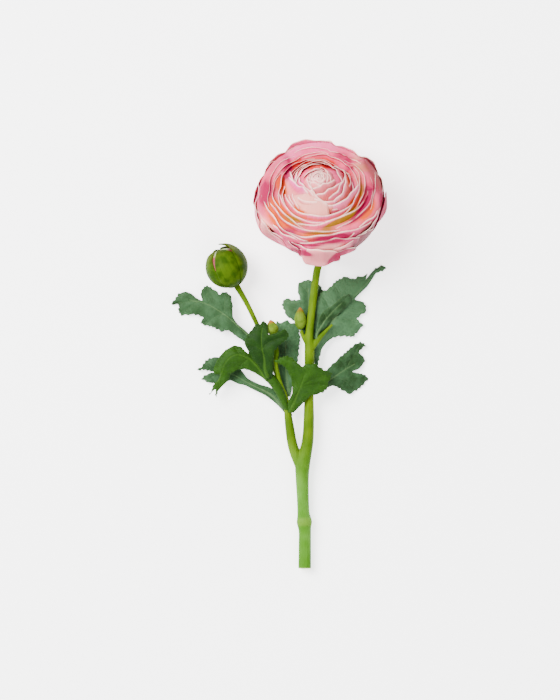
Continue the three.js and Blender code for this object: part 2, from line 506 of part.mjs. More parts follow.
const LEAVES = {
  leaf_left: [{
    midrib: [
      [-33.6, -92, 10.9], [-37.5, -83, 10], [-43, -72.7, 9.4], [-50, -66, 9], [-57, -60, 8],
      [-69, -53, 5.4], [-79, -50.5, 2.4],
    ],
    edge: [
      [-34.7, -92.4, 10.8], [-39.3, -83, 9.8], [-45.6, -76, 8.4], [-50, -73, 8], [-55.6, -69, 6.6],
      [-58.7, -70, 5.6], [-62, -68.4, 5], [-64.4, -67.2, 4.6], [-72.2, -65, 2.4], [-70.2, -61.8, 4],
      [-73, -60, 3.6], [-78.4, -59.4, 2], [-83.8, -60, 0.5], [-85.5, -57, 0.8], [-85.2, -53.6, 1.2],
      [-90, -53.2, 2.2], [-88, -51, 1.6], [-85.2, -46.8, 1.2], [-81, -45.8, 1.6], [-77.4, -47, 2.6],
      [-74.8, -49.4, 3.6], [-71, -51.2, 4.8], [-72, -47.2, 4.4], [-70.6, -43.8, 4], [-68.3, -42, 3.8],
      [-63.7, -44.7, 5], [-60.3, -47.4, 6], [-57.7, -45.8, 5.6], [-54.6, -47.3, 5.8],
      [-52.8, -51.4, 6.8], [-52.6, -57.2, 8], [-52.3, -61.4, 8.4], [-49.8, -65, 8.6],
      [-43.2, -70.8, 9], [-36.4, -82, 10], [-32.6, -92, 10.9],
    ],
  }],
  leaf_left_top: [{
    midrib: [
      [-31.4, -97, 13.6], [-33, -93, 14.2], [-33.6, -86, 15.4], [-35, -79, 16.4],
      [-35.2, -72, 16.6], [-34.6, -67.5, 16],
    ],
    edge: [
      [-32.6, -98.4, 12.9], [-35.2, -93.4, 13.8], [-37.9, -89.4, 15], [-41, -85.6, 15.8],
      [-43.6, -81.4, 15.8], [-45.2, -76.2, 15], [-44, -72.7, 14.8], [-41.4, -69.2, 15],
      [-38.1, -65.2, 15], [-36, -65.6, 15.4], [-34.2, -63.4, 15], [-31.8, -65.2, 15.8],
      [-31, -71.6, 17.6], [-28.8, -71.6, 18.2], [-24, -69.8, 18.6], [-21.7, -69, 18.2],
      [-18.8, -70.8, 17.4], [-19.6, -74, 17.6], [-23.1, -76.8, 17.6], [-27, -81, 16.4],
      [-28, -86, 15.2], [-28.2, -91, 14.2], [-28.2, -95.5, 13.5], [-29.4, -98.8, 13.1],
    ],
  }],
  leaf_left_arch: [{
    midrib: [
      [-32.2, -98.6, 11.4], [-35.2, -94, 12.4], [-38.4, -90.2, 13.2], [-43.4, -85.8, 14.2],
      [-51, -84, 15.2], [-56.5, -88, 14.6], [-59, -94, 13], [-61, -100, 11],
    ],
    edge: [
      [-31.6, -100.6, 10.9], [-34.6, -97.8, 11.6], [-38.6, -95.2, 12.2], [-43.2, -93, 12.8],
      [-47.4, -92.4, 13], [-53.5, -95, 12.2], [-55.2, -99.4, 11.2], [-58.2, -102.2, 10.4],
      [-61.6, -106.1, 9.4], [-62.4, -109.7, 8.6], [-63, -107.4, 9], [-62.6, -104.6, 9.8],
      [-66.9, -107.8, 8.2], [-65.2, -105.6, 8.6], [-64.6, -102.6, 9], [-61.2, -98.8, 10.4],
      [-60, -96, 11.2], [-63.8, -95.4, 10], [-63.8, -91.5, 10.6], [-60.8, -85.4, 12.2],
      [-56.6, -80.8, 13.4], [-51.2, -78.3, 14], [-47.4, -79.1, 14], [-44.8, -81.8, 13.8],
      [-42, -84, 13.4], [-38.3, -88.2, 12.6], [-34.6, -92.8, 12], [-32, -96.8, 11.6],
    ],
  }],
  leaf_left_low: [{
    midrib: [
      [-22.6, -116.2, 7.2], [-26.6, -110.4, 6.8], [-32, -106.4, 6.4], [-39, -103, 6.2],
      [-45.6, -99.6, 6], [-54, -95, 5.2], [-59.5, -94, 4.8],
    ],
    edge: [
      [-22.3, -118, 7], [-24.2, -115.6, 6.8], [-27.8, -112.2, 6.4], [-32.9, -108.4, 6.1],
      [-39.6, -105.2, 5.8], [-45.6, -102.2, 5.4], [-48.9, -101.6, 5], [-54, -99.4, 4.8],
      [-60, -101.2, 4], [-64.6, -101.3, 3], [-71.5, -98.4, 1.6], [-68.4, -95.7, 2.4],
      [-63.5, -94.4, 3.8], [-70.3, -92.9, 3], [-74.4, -93.4, 2.2], [-71.1, -90.8, 3],
      [-68.8, -87.3, 3.6], [-64.6, -85.4, 4.4], [-61.6, -85.8, 5], [-54, -89, 5.6],
      [-47.4, -93, 5.8], [-43.6, -98, 6], [-36.6, -101.6, 6.2], [-30.4, -103.4, 6.2],
      [-26.8, -106, 6.2], [-23.8, -112, 6.8], [-22.7, -115.4, 7.2],
    ],
  }],
  leaf_middle_back: [{
    midrib: [
      [-18.7, -108.6, 6.3], [-19.4, -102, 5.2], [-20.4, -94, 4.2], [-20.6, -84, 3.5],
      [-20.6, -74, 2.9], [-20.5, -68, 2.2],
    ],
    edge: [
      [-19.6, -109.2, 6.2], [-21.2, -105, 4.6], [-23.4, -100.5, 3.9], [-25.4, -95.5, 3.5],
      [-27, -90, 3.4], [-28.2, -80, 3], [-28, -72, 2.6], [-25.8, -63.6, 1.6], [-24, -64.7, 1.8],
      [-19.2, -62.8, 1.4], [-18, -64.8, 1.7], [-15.6, -64.7, 1.5], [-12.9, -68.2, 1.8],
      [-11.8, -73.8, 2.4], [-12.4, -79.2, 3], [-13.2, -87, 3.8], [-14.6, -93, 4.2],
      [-16.4, -99.6, 4.8], [-16.9, -105.4, 5.6], [-17.7, -109.2, 6.4],
    ],
  }],
  leaf_middle_front: [{
    midrib: [
      [-17.6, -117.8, 11.2], [-14, -109, 13], [-10.5, -100, 15.4], [-8.6, -95, 16.4],
    ],
    edge: [
      [-19.4, -118.6, 11], [-18.9, -111.8, 12], [-16.6, -107, 12.8], [-17, -99.8, 13.6],
      [-18.8, -94.2, 14.4], [-22, -90.3, 15], [-27.2, -87.9, 15.4], [-23.4, -85.6, 15.6],
      [-19.8, -84.6, 15.8], [-15.3, -86.7, 16], [-13.3, -89.1, 16.2], [-10.3, -91.1, 16.2],
      [-9, -89.7, 16.4], [-3.4, -89.4, 16.6], [-0.2, -91.1, 16.4], [3, -93.5, 15.6],
      [6, -94.2, 14.8], [7.2, -95.4, 14.2], [5, -100.8, 14.4], [4.6, -103.8, 13.8],
      [2.2, -106.2, 13.6], [-1, -107.4, 13.6], [-4.2, -107.8, 13.6], [-7.3, -110.2, 13.4],
      [-12.1, -115, 12.4], [-15.8, -118.8, 11.2],
    ],
  }],
  leaf_right_low: [{
    midrib: [
      [-2.6, -105.2, 8.8], [3, -101, 8.2], [9, -97, 7], [15, -93, 5.4], [21, -89.5, 3.6],
    ],
    edge: [
      [-3.3, -103.8, 9], [0, -98, 8.4], [3.8, -93.5, 8], [8.4, -88.8, 7], [14.4, -83.4, 5.4],
      [21, -77.8, 3.4], [24.9, -76.2, 2.6], [27.9, -78.2, 2], [25.2, -80.2, 2.8], [24, -82.6, 3.2],
      [27.5, -87, 1.6], [24, -92.3, 2.6], [19.6, -94.1, 3.6], [26.4, -95.7, 1.4],
      [29.4, -98, 0.5], [24, -104.2, 1.2], [21.4, -105.8, 1.6], [18.4, -107.4, 2],
      [14.4, -105.8, 3.6], [10.6, -103.4, 5], [7.8, -102.6, 6], [5, -103.6, 6.8],
      [0, -106, 8], [-3.3, -107, 8.7],
    ],
  }],
  leaf_right_high: [{
    midrib: [
      [-2.4, -77.4, 9.6], [3, -70, 8.6], [9, -62, 7.4], [16, -53.5, 5.6], [24, -45, 3.6],
      [31, -38, 2],
    ],
    edge: [
      [-2.8, -75.5, 9.8], [-1.4, -68, 8.6], [-0.4, -60, 7.6], [0.6, -53, 6.4], [2.6, -46.8, 5],
      [5.8, -43.5, 4.2], [10.2, -39, 3.2], [16.6, -36.4, 2.2], [18.6, -38, 2.4],
      [21.4, -37.8, 2.2], [23.3, -36.4, 1.8], [26, -36.6, 1.8], [29, -34.6, 1.2],
      [28, -38, 2], [31, -34.4, 1.3], [33.8, -31.6, 0.8], [38.4, -29.8, 0.5],
      [40, -31.2, 0.5], [38.9, -32.8, 0.5], [34.2, -34.6, 1], [32.2, -37.6, 1.4],
      [28.8, -42.6, 2.2], [23.7, -47.6, 3], [21.2, -50.4, 3.4], [26.4, -52, 2.4],
      [28.1, -55, 2], [28.1, -57.3, 1.8], [22.6, -62.1, 3], [26.2, -66.2, 1.8],
      [21.9, -71.1, 1.8], [20.4, -72.9, 1.8], [13.2, -72.5, 3.4], [7.7, -73.8, 4.6],
      [3.6, -77, 5.8], [1.2, -80.7, 6.4], [-0.8, -90, 5.8], [-2, -85, 7.2], [-2.6, -79.6, 9.2],
    ],
  }, {
    midrib: [
      [-2.2, -75.3, 10.2], [-1.3, -71.2, 10.6], [2, -64.8, 10.8], [7.2, -58.4, 10.1], [13, -52.8, 8.6],
    ],
    edge: [
      [-2.8, -75, 10], [-2, -69, 11.2], [-0.2, -61.4, 11.6], [2.2, -57.6, 11.2], [8.4, -53.6, 10.2],
      [13.6, -49, 8.6], [18.2, -47.4, 6.8], [18.4, -51.8, 6.8], [12.6, -58.2, 8.4],
      [8.4, -61, 9.2], [4, -67, 9.8], [-0.6, -71.8, 10], [-1.6, -75.6, 10],
    ],
  }],
  leaf_stalk_back: [{
    midrib: [
      [-6, -78, 6.2], [-6.4, -70, 5.3], [-6.8, -60, 3.8], [-7, -50, 2.2], [-7, -43.5, 1.2],
    ],
    edge: [
      [-7.6, -78.6, 6.2], [-10.5, -72, 5.4], [-13.2, -67, 4.6], [-15.8, -62.8, 4], [-19, -61.7, 3.4],
      [-21.3, -57.3, 2.8], [-22.8, -53.4, 2.2], [-20.6, -49.8, 2], [-16.2, -50.9, 2.6],
      [-12, -50.4, 2.8], [-13.4, -45, 1.6], [-12.6, -40.6, 0.9], [-7, -38.4, 0.6],
      [-4.8, -39.2, 0.8], [-0.6, -40.8, 1], [2.2, -45.8, 1.4], [2.2, -49.5, 2], [-0.4, -57, 3.2],
      [-2.2, -64, 4.4], [-3.2, -72, 5.4], [-4.2, -78.6, 6.2],
    ],
  }],
};
const DARK_LEAVES = ['leaf_left_top', 'leaf_left_arch', 'leaf_middle_front'];

// Assembly

const group = new THREE.Group();
group.name = 'ranunculus_flower';

function addNode(name, whole, colour) {
  const [shade, roughness] = COLOURS[colour];
  const material = new THREE.MeshStandardMaterial({ color: shade, roughness, metalness: 0 });
  const mesh = new THREE.Mesh(geometryOf(whole), material);
  mesh.name = name;
  group.add(mesh);
}

addNode('stem', stem(), 'stem');
addNode('calyx', calyx(), 'bud');
addNode('bloom', bloom(), 'petal');
addNode('large_bud_sepals', largeBudSepals(), 'bud');
addNode('large_bud_petals', largeBudPetals(), 'bud_petal');
addNode('small_bud_left', smallBud([-27.5, -72.4, 12.3], [-29.8, -62.8, 12.6]), 'bud');
addNode('small_bud_right', smallBud([-11.6, -68.7, 9.8], [-11.8, -55.3, 9]), 'bud');
for (const [name, blades] of Object.entries(LEAVES)) {
  addNode(name, fused(blades.map(blade)), DARK_LEAVES.includes(name) ? 'dark_leaf' : 'leaf');
}

export default group;
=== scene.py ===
"""Dresses the cut ranunculus flower: thin layered petals, veined leaves, smooth stalks and buds.

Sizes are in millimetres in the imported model's frame and are scaled to metres once, where a mesh
is made. Every surface is a whole-array formula, and every petal comes from a row of numbers.
"""

import bpy
import numpy as np
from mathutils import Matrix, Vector
from mathutils.geometry import delaunay_2d_cdt


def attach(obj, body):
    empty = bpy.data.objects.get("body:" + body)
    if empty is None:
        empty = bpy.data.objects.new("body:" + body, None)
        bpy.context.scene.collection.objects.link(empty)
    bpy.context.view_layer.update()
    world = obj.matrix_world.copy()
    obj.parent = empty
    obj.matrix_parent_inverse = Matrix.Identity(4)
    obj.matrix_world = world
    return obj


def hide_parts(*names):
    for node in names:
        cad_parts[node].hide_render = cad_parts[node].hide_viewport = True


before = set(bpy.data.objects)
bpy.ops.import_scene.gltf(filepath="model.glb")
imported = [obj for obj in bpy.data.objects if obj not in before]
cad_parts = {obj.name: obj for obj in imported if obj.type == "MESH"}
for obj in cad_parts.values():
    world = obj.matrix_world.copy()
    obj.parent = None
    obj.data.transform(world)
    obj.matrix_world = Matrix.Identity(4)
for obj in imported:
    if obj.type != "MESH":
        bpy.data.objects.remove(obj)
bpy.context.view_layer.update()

MM = 0.001

# The photograph: 560 by 700 pixels, seen straight down, each 0.6 mm wide at the scale height
PIXEL_MM = 0.6
ORIGIN_PIXEL = (320, 215)
MIDDLE_PIXEL = (280, 350)
IMAGE_HEIGHT = 700
CAMERA_HEIGHT = 3000
SCALE_HEIGHT = 25

# Bloom
BLOOM_CENTRE = np.array([-0.4, 7.9, 36.4])
BLOOM_LEAN = np.radians(43)
BLOOM_RADIUS = 38.3
CUP_TAPER = 0.634
CUP_BASE = -36.9
HEART_RADIUS = 20.6
ROSETTE_TIP = 0.14
WIDEST_PLACE = 0.55
PETAL_THICKNESS = 0.38
PRESSED_HEIGHT = 0.12

# Stem: places along Y from the bloom to the cut end, and how its tubes melt together
FRESH_END = -130
PALE_START = -170
NODE_RING = -184.8
CUT_END = -213
MELT_STEP = 0.38
RELAX_ROUNDS = 6

# Buds
BUD_CENTRE = np.array([-56.1, -31.1, 11.8])
BUD_AXIS = np.array([-0.42, 0.86, 0.28])
BUD_RADIUS = 12.2
SEPAL_THICKNESS = 0.85
SEPAL_OVERLAP = 0.55
SMALL_BUD_RADIUS = 3.4

# Leaves
LEAF_THICKNESS = 0.6
LEAF_EDGE_THICKNESS = 0.24
LEAF_RISE = 0.8
LEAF_RIPPLE = 0.35
VEIN_SWELL = 0.2
LEAF_STEP = 0.6
TOOTH_MM = 3.4
TOOTH_DEPTH = 0.9
STALK_END_RADIUS = 1.3
RIB_STEP = 0.4
VEIN_WINDOW = 9
LOBE_LENGTH = 3.5
FOLD_DARKER = 0.8


# Numbers and lines

def chance(index):
    """A steady number from 0 to 1 for each index: the fraction of a large sine."""
    spread = np.sin(np.asarray(index) * 12.9898 + 4.1) * 43758.5453
    return spread - np.floor(spread)


def mix(a, b, share):
    """a where share is 0, b where it is 1."""
    return a + (b - a) * share


def ease(value, low, high):
    """0 below low, 1 above high, and a smooth S between them."""
    share = np.clip((value - low) / (high - low), 0, 1)
    return share * share * (3 - 2 * share)


def unit(vectors):
    """Vectors of length 1 in the same directions."""
    return vectors / np.maximum(np.linalg.norm(vectors, axis=-1, keepdims=True), 1e-9)


def axes(ahead):
    """Three unit vectors: the way ahead, a level one square to it, and one square to both."""
    ahead = unit(np.asarray(ahead, float))
    level = unit(np.cross([0, 0, 1], ahead))
    return ahead, level, np.cross(ahead, level)


def around(origin, ways, ahead, radius, angle):
    """Places round an axis: a distance ahead along it, and a radius at an angle round it."""
    amounts = (ahead, radius * np.cos(angle), radius * np.sin(angle))
    return origin + sum(amount[..., None] * way for amount, way in zip(amounts, ways))


def circle(sides):
    """Angles of evenly spaced places on a circle, as one row."""
    return (2 * np.pi * np.arange(sides) / sides)[None, :]


def smooth_line(points, each):
    """A curve through the points: a centripetal Catmull-Rom spline with `each` steps a span."""
    inner = np.asarray(points, float)
    line = np.vstack([2 * inner[0] - inner[1], inner, 2 * inner[-1] - inner[-2]])
    steps = np.linalg.norm(np.diff(line[:, :3], axis=0), axis=1) ** 0.5
    knots = np.concatenate([[0], np.cumsum(steps)])
    t0, t1, t2, t3 = (knots[k:len(knots) - 3 + k, None, None] for k in range(4))
    p0, p1, p2, p3 = (line[k:len(line) - 3 + k, None, :] for k in range(4))
    t = mix(t1, t2, (np.arange(each) / each)[None, :, None])
    a1 = mix(p0, p1, (t - t0) / (t1 - t0))
    a2 = mix(p1, p2, (t - t1) / (t2 - t1))
    a3 = mix(p2, p3, (t - t2) / (t3 - t2))
    b1 = mix(a1, a2, (t - t0) / (t2 - t0))
    b2 = mix(a2, a3, (t - t1) / (t3 - t1))
    curve = mix(b1, b2, (t - t1) / (t2 - t1)).reshape(-1, inner.shape[1])
    return np.vstack([curve, inner[-1]])


def along_line(line, share):
    """Points of a line at shares of its own length."""
    length = np.concatenate([[0], np.cumsum(np.linalg.norm(np.diff(line, axis=0), axis=1))])
    place = np.asarray(share) * length[-1]
    return np.stack([np.interp(place, length, line[:, k]) for k in range(line.shape[1])], axis=-1)


# Meshes

def add_object(name, data):
    """A new object of the scene that holds the data."""
    made = bpy.data.objects.new(name, data)
    bpy.context.collection.objects.link(made)
    return made


def add_piece(name, points, faces, node, slot, material, stored=()):
    """One object from points in millimetres, with numbers stored at each point by name."""
    mesh = bpy.data.meshes.new(name)
    mesh.from_pydata((points * MM).tolist(), [], faces.tolist())
    for label, numbers in dict(stored).items():
        mesh.attributes.new(label, "FLOAT", "POINT").data.foreach_set("value", np.ravel(numbers))
    mesh.shade_smooth()
    mesh.materials.append(material)
    mesh.validate()
    piece = add_object(name, mesh)
    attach(piece, "root")
    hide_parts(node)
    return piece


def sheet_normals(grid):
    """Unit normals of sheets of shape (sheets, rows, columns, 3): across times along."""
    across = np.gradient(grid, axis=2)
    along = np.gradient(grid, axis=1)
    return unit(np.cross(across, along))


def shell(grid, thickness):
    """Both faces of sheets, half the thickness out and half in, joined round the border."""
    normals = sheet_normals(grid) * (thickness / 2)[..., None]
    sheets, rows, columns = grid.shape[:3]
    count = rows * columns
    index = np.arange(count).reshape(rows, columns)
    corners = [index[:-1, :-1], index[:-1, 1:], index[1:, 1:], index[1:, :-1]]
    top = np.stack(corners, axis=-1).reshape(-1, 4)
    border = np.concatenate([index[0, :-1], index[:-1, -1], index[-1, :0:-1], index[:0:-1, 0]])
    after = np.roll(border, -1)
    rim = np.stack([border, border + count, after + count, after], axis=-1)
    faces = np.concatenate([top, top[:, ::-1] + count, rim])
    shifts = 2 * count * np.arange(sheets)[:, None, None]
    points = np.stack([grid + normals, grid - normals], axis=1).reshape(-1, 3)
    return points, (faces[None] + shifts).reshape(-1, 4)


def on_both_faces(values, shape):
    """One number for each grid point, repeated for the upper and the lower face of each sheet."""
    full = np.broadcast_to(values, shape)
    return np.stack([full, full], axis=1).ravel()


def sheets_piece(name, grid, thickness, stored, node, slot, material):
    """Sheets as one object, kept just above the surface that the flower lies on."""
    points, faces = shell(grid, thickness)
    points[:, 2] = np.maximum(points[:, 2], PRESSED_HEIGHT)
    stored = {label: on_both_faces(numbers, grid.shape[:3]) for label, numbers in stored.items()}
    return add_piece(name, points, faces, node, slot, material, stored)


def stack(rings):
    """Points and quads of a stack of rings, each joined to the next all the way round."""
    count, sides = rings.shape[:2]
    ring = np.arange(sides)
    after = (ring + 1) % sides
    steps = sides * np.arange(count - 1)[:, None]
    wall = [ring + steps, after + steps, after + steps + sides, ring + steps + sides]
    return rings.reshape(-1, 3), np.stack(wall, axis=-1).reshape(-1, 4)


def tube(stations, each=6, sides=20):
    """Points and quads of a round stalk: circles along a smooth line through [x, y, z, radius].

    The ends are drawn in to a point.
    """
    line = smooth_line(stations, each)
    centre, radius = line[:, :3], line[:, 3]
    ahead = unit(np.gradient(centre, axis=0))
    across = unit(np.cross(ahead, [0, 0, 1]))
    up = np.cross(ahead, across)
    centre, across, up = (rows[[0, *range(len(rows)), -1], None] for rows in (centre, across, up))
    radius = np.concatenate([[0.001], radius, [0.001]])[:, None, None]
    angle = circle(sides)[..., None]
    return stack(centre + radius * (across * np.cos(angle) + up * np.sin(angle)))


def joined(parts):
    """Points and faces of several parts as one."""
    starts = np.cumsum([0] + [len(points) for points, faces in parts[:-1]])
    faces = [faces + start for (points, faces), start in zip(parts, starts)]
    return np.vstack([points for points, faces in parts]), np.vstack(faces)


def colour(red, green, blue):
    """The share of red, green and blue light that a surface gives back."""
    return (red, green, blue, 1)


# Materials

class Wire:
    """A socket of a node tree that can be added, taken away and multiplied."""

    def __init__(self, paint, socket):
        self.paint = paint
        self.socket = socket

    def __add__(self, other):
        return self.paint.sum("ADD", self, other)

    def __sub__(self, other):
        return self.paint.sum("SUBTRACT", self, other)

    def __rsub__(self, other):
        return self.paint.sum("SUBTRACT", other, self)

    def __mul__(self, other):
        return self.paint.sum("MULTIPLY", self, other)

    __radd__ = __add__
    __rmul__ = __mul__


class Paint:
    """A material under construction: one method adds any node, the others are short forms."""

    def __init__(self, name):
        self.material = bpy.data.materials.new(name)
        self.material.use_nodes = True
        self.tree = self.material.node_tree
        self.tree.nodes.clear()
        self.shader = self.tree.nodes.new("ShaderNodeBsdfPrincipled")
        output = self.tree.nodes.new("ShaderNodeOutputMaterial")
        self.tree.links.new(self.shader.outputs[0], output.inputs[0])

    def put(self, socket, value):
        """Links a wire to a socket, or sets the socket to a plain value."""
        if isinstance(value, Wire):
            self.tree.links.new(value.socket, socket)
        else:
            socket.default_value = value

    def node(self, kind, settings, sockets, output=0):
        """Adds a node with its settings and sockets, and returns the wire of one output."""
        made = self.tree.nodes.new(kind)
        for name, value in settings.items():
            setattr(made, name, value)
        for key, value in sockets.items():
            self.put(made.inputs[key], value)
        return Wire(self, made.outputs[output])

    def sum(self, operation, a, b=0.0):
        """One step of arithmetic on two wires or numbers."""
        return self.node("ShaderNodeMath", {"operation": operation}, {0: a, 1: b})

    def stored(self, label):
        """The number stored at each point under this label."""
        return self.node("ShaderNodeAttribute", {"attribute_name": label}, {}, "Fac")

    def place(self):
        """Where the shaded point lies, in metres."""
        return self.node("ShaderNodeTexCoord", {}, {}, "Object")

    def vector(self, x, y, z=0.0):
        """A vector of three wires or numbers."""
        return self.node("ShaderNodeCombineXYZ", {}, {0: x, 1: y, 2: z})

    def parts(self, vector):
        """The x, y and z wires of a vector."""
        split = self.node("ShaderNodeSeparateXYZ", {}, {0: vector}).socket.node
        return [Wire(self, socket) for socket in split.outputs]

    def noise(self, vector, scale, detail=2.0, rough=0.5):
        """Cloudy noise at the place that the vector gives, about 0.5 on average."""
        sockets = {"Vector": vector, "Scale": scale, "Detail": detail, "Roughness": rough}
        return self.node("ShaderNodeTexNoise", {}, sockets)

    def ease(self, value, low, high):
        """0 below low, 1 above high, with a smooth S between. low may be the higher number."""
        settings = {"interpolation_type": "SMOOTHSTEP", "clamp": True}
        return self.node("ShaderNodeMapRange", settings, {0: value, 1: low, 2: high})

    def blend(self, a, b, share):
        """Colour a where share is 0, colour b where it is 1."""
        return self.node("ShaderNodeMix", {"data_type": "RGBA"}, {0: share, 6: a, 7: b}, 2)

    def finish(self, base, roughness, height, depth, fixed):
        """Wires the shader: colour, roughness, a bump of that depth in metres, fixed sockets."""
        bump = self.node("ShaderNodeBump", {}, {"Strength": 1.0, "Distance": depth, "Height": height})
        self.put(self.shader.inputs["Base Color"], base)
        self.put(self.shader.inputs["Roughness"], roughness)
        self.put(self.shader.inputs["Normal"], bump)
        for name, value in fixed.items():
            self.shader.inputs[name].default_value = value
        return self.material


ROSE_SHADE, ROSE = colour(0.52, 0.010, 0.11), colour(0.70, 0.042, 0.17)
LILAC, CREAM = colour(0.66, 0.068, 0.28), colour(0.96, 0.38, 0.34)
# Painted shade in the first of the next two colours: a dark greyish pink for the right and lower side
# of the bloom, which turn from the light
MAUVE_SHADE, STREAK = colour(0.115, 0.024, 0.038), colour(0.50, 0.008, 0.12)
PEACH, CORAL = colour(0.52, 0.060, 0.003), colour(0.44, 0.010, 0.008)
MAGENTA, WINE = colour(0.25, 0.0001, 0.040), colour(0.24, 0.0001, 0.032)
# The second of the next two colours: near-white of the rims, partly the petals' own pale edge and
# partly painted highlight
GOLD, RIM_WHITE_AND_HIGHLIGHT = colour(0.22, 0.105, 0.0003), colour(1.0, 0.66, 0.54)


def petal_material():
    """Rose petals with near-white rims, partly their own pale edge and partly painted highlight,
    fine streaks along them and peach or coral depths.

    The stored tints blend in lilac, cream, magenta and gold, wine where magenta is strongest, and a
    dark greyish pink that is painted shade on the right and lower side of the bloom.
    """
    paint = Paint("petal")
    across, along = paint.stored("across"), paint.stored("along")
    rim, side, seed = (paint.stored(label) for label in ("rim_mm", "side", "seed"))
    pale, hot, warm, lilac, gold, mauve = (paint.stored(label) for label in TINTS)
    fine = paint.noise(paint.vector(across * 26 + seed * 50, along * 1.6, seed * 9), 1.0, 3.0, 0.6)
    broad = paint.noise(paint.vector(across * 2.2 + seed * 31, along * 2.4, seed * 7), 1.0, 2.0)
    spread = paint.ease(broad, 0.35, 0.65)
    base = paint.blend(ROSE_SHADE, ROSE, spread)
    base = paint.blend(base, LILAC, lilac * (0.5 + spread * 0.5))
    base = paint.blend(base, CREAM, pale * 0.8)
    # Painted shade: a dark greyish pink on the right and lower side of the bloom, which turn from the
    # light
    base = paint.blend(base, MAUVE_SHADE, mauve * (0.75 + spread * 0.25))
    streaks = paint.ease(fine, 0.45, 0.75) * paint.ease(rim, 16.0, 2.0)
    base = paint.blend(base, STREAK, streaks * (0.35 - pale * 0.2))
    deep = paint.ease(rim + broad * 2, 1.2, 4.0)
    depths = paint.blend(PEACH, CORAL, paint.ease(side, 0.0, 0.6))
    base = paint.blend(base, depths, deep * warm * (0.7 + fine * 0.6))
    base = paint.blend(base, MAGENTA, hot * (0.6 + broad))
    base = paint.blend(base, WINE, hot - 2)
    base = paint.blend(base, GOLD, gold * (0.7 + fine * 0.6))
    # Near-white rims: partly the petals' own pale edge, partly painted highlight along the lit rims
    edge = paint.ease(rim + fine * 0.7, 1.5, 0.45)
    base = paint.blend(base, RIM_WHITE_AND_HIGHLIGHT, edge * (0.55 + spread * 0.35 - hot * 0.35))
    height = fine * 0.6 + broad * 0.8
    return paint.finish(base, 0.52 + fine * 0.16, height, 0.0006, {
        "Subsurface Weight": 0.2,
        "Subsurface Radius": (1.0, 0.4, 0.4),
        "Subsurface Scale": 0.003,
        "Specular IOR Level": 0.12,
    })


def leaf_material(name, shade, light, vein_colour, gloss):
    """Leaf green from shade to light by tone and mottling, with paler veins, net and edge."""
    paint = Paint(name)
    vein, edge, tone = (paint.stored(label) for label in ("vein", "edge_mm", "tone"))
    place = paint.place()
    mottle = paint.noise(place, 140.0, 3.0, 0.6)
    cells = paint.node(
        "ShaderNodeTexVoronoi", {"feature": "DISTANCE_TO_EDGE"}, {"Vector": place, "Scale": 620.0},
    )
    net = paint.ease(cells, 0.09, 0.0)
    base = paint.blend(shade, light, tone + paint.ease(mottle, 0.3, 0.7) * 0.5 - 0.25)
    base = paint.blend(base, vein_colour, paint.ease(vein, 0.3, 1.0) * 0.5)
    base = paint.blend(base, vein_colour, net * 0.08)
    base = paint.blend(base, vein_colour, paint.ease(edge, 0.45, 0.1) * 0.25)
    height = mottle * 0.5 - net * 0.35 - vein * 0.8
    return paint.finish(base, gloss + mottle * 0.2, height, 0.0005, {"Specular IOR Level": 0.1})


def stem_material():
    """Yellow-green stalks with fine lengthwise ridges and specks.

    The main stalk is paler towards its cut end, round its node ring and on the cut itself.
    """
    paint = Paint("stem")
    place = paint.place()
    x, y, z = paint.parts(place)
    ridges = paint.noise(paint.vector(x * 1500, y * 60, z * 1500), 1.0, 3.0, 0.6)
    broad = paint.noise(place, 60.0, 2.0)
    specks = paint.noise(place, 1400.0, 1.0)
    spread = paint.ease(broad, 0.35, 0.65)
    fresh = paint.blend(colour(0.038, 0.084, 0.0004), colour(0.074, 0.130, 0.0016), spread)
    old = paint.blend(colour(0.044, 0.142, 0.006), colour(0.074, 0.200, 0.020), spread)
    base = paint.blend(fresh, old, paint.ease(y, FRESH_END * MM, PALE_START * MM))
    base = paint.blend(base, colour(0.03, 0.09, 0.003), paint.ease(ridges, 0.5, 0.8) * 0.4)
    ring = paint.ease(paint.sum("ABSOLUTE", y - NODE_RING * MM), 0.0035, 0.0012)
    base = paint.blend(base, colour(0.12, 0.22, 0.02), ring * 0.5)
    cut = paint.ease(y, (CUT_END + 0.8) * MM, CUT_END * MM)
    base = paint.blend(base, colour(0.35, 0.45, 0.15), cut)
    base = paint.blend(base, colour(0.14, 0.26, 0.015), paint.ease(specks, 0.68, 0.8) * 0.25)
    height = ridges * 0.7 + specks * 0.2
    return paint.finish(base, 0.45 + broad * 0.15, height, 0.0005, {"Specular IOR Level": 0.04})


def bud_material(name, shade, light, tip_colour, tip_share):
    """Bud green in soft patches, with darker lengthwise veins and a tint towards the tip."""
    paint = Paint(name)
    across, along = paint.stored("across"), paint.stored("along")
    veins = paint.noise(paint.vector(across * 9, along * 1.2), 1.0, 2.0)
    broad = paint.noise(paint.place(), 170.0, 2.0)
    base = paint.blend(shade, light, paint.ease(broad, 0.35, 0.65))
    base = paint.blend(base, colour(0.010, 0.036, 0.001), paint.ease(veins, 0.5, 0.75) * 0.5)
    base = paint.blend(base, tip_colour, paint.ease(along + broad * 0.3, 0.85, 1.12) * tip_share)
    height = veins * 0.5 + broad * 0.5
    return paint.finish(base, 0.46 + broad * 0.16, height, 0.0006, {"Specular IOR Level": 0.03})


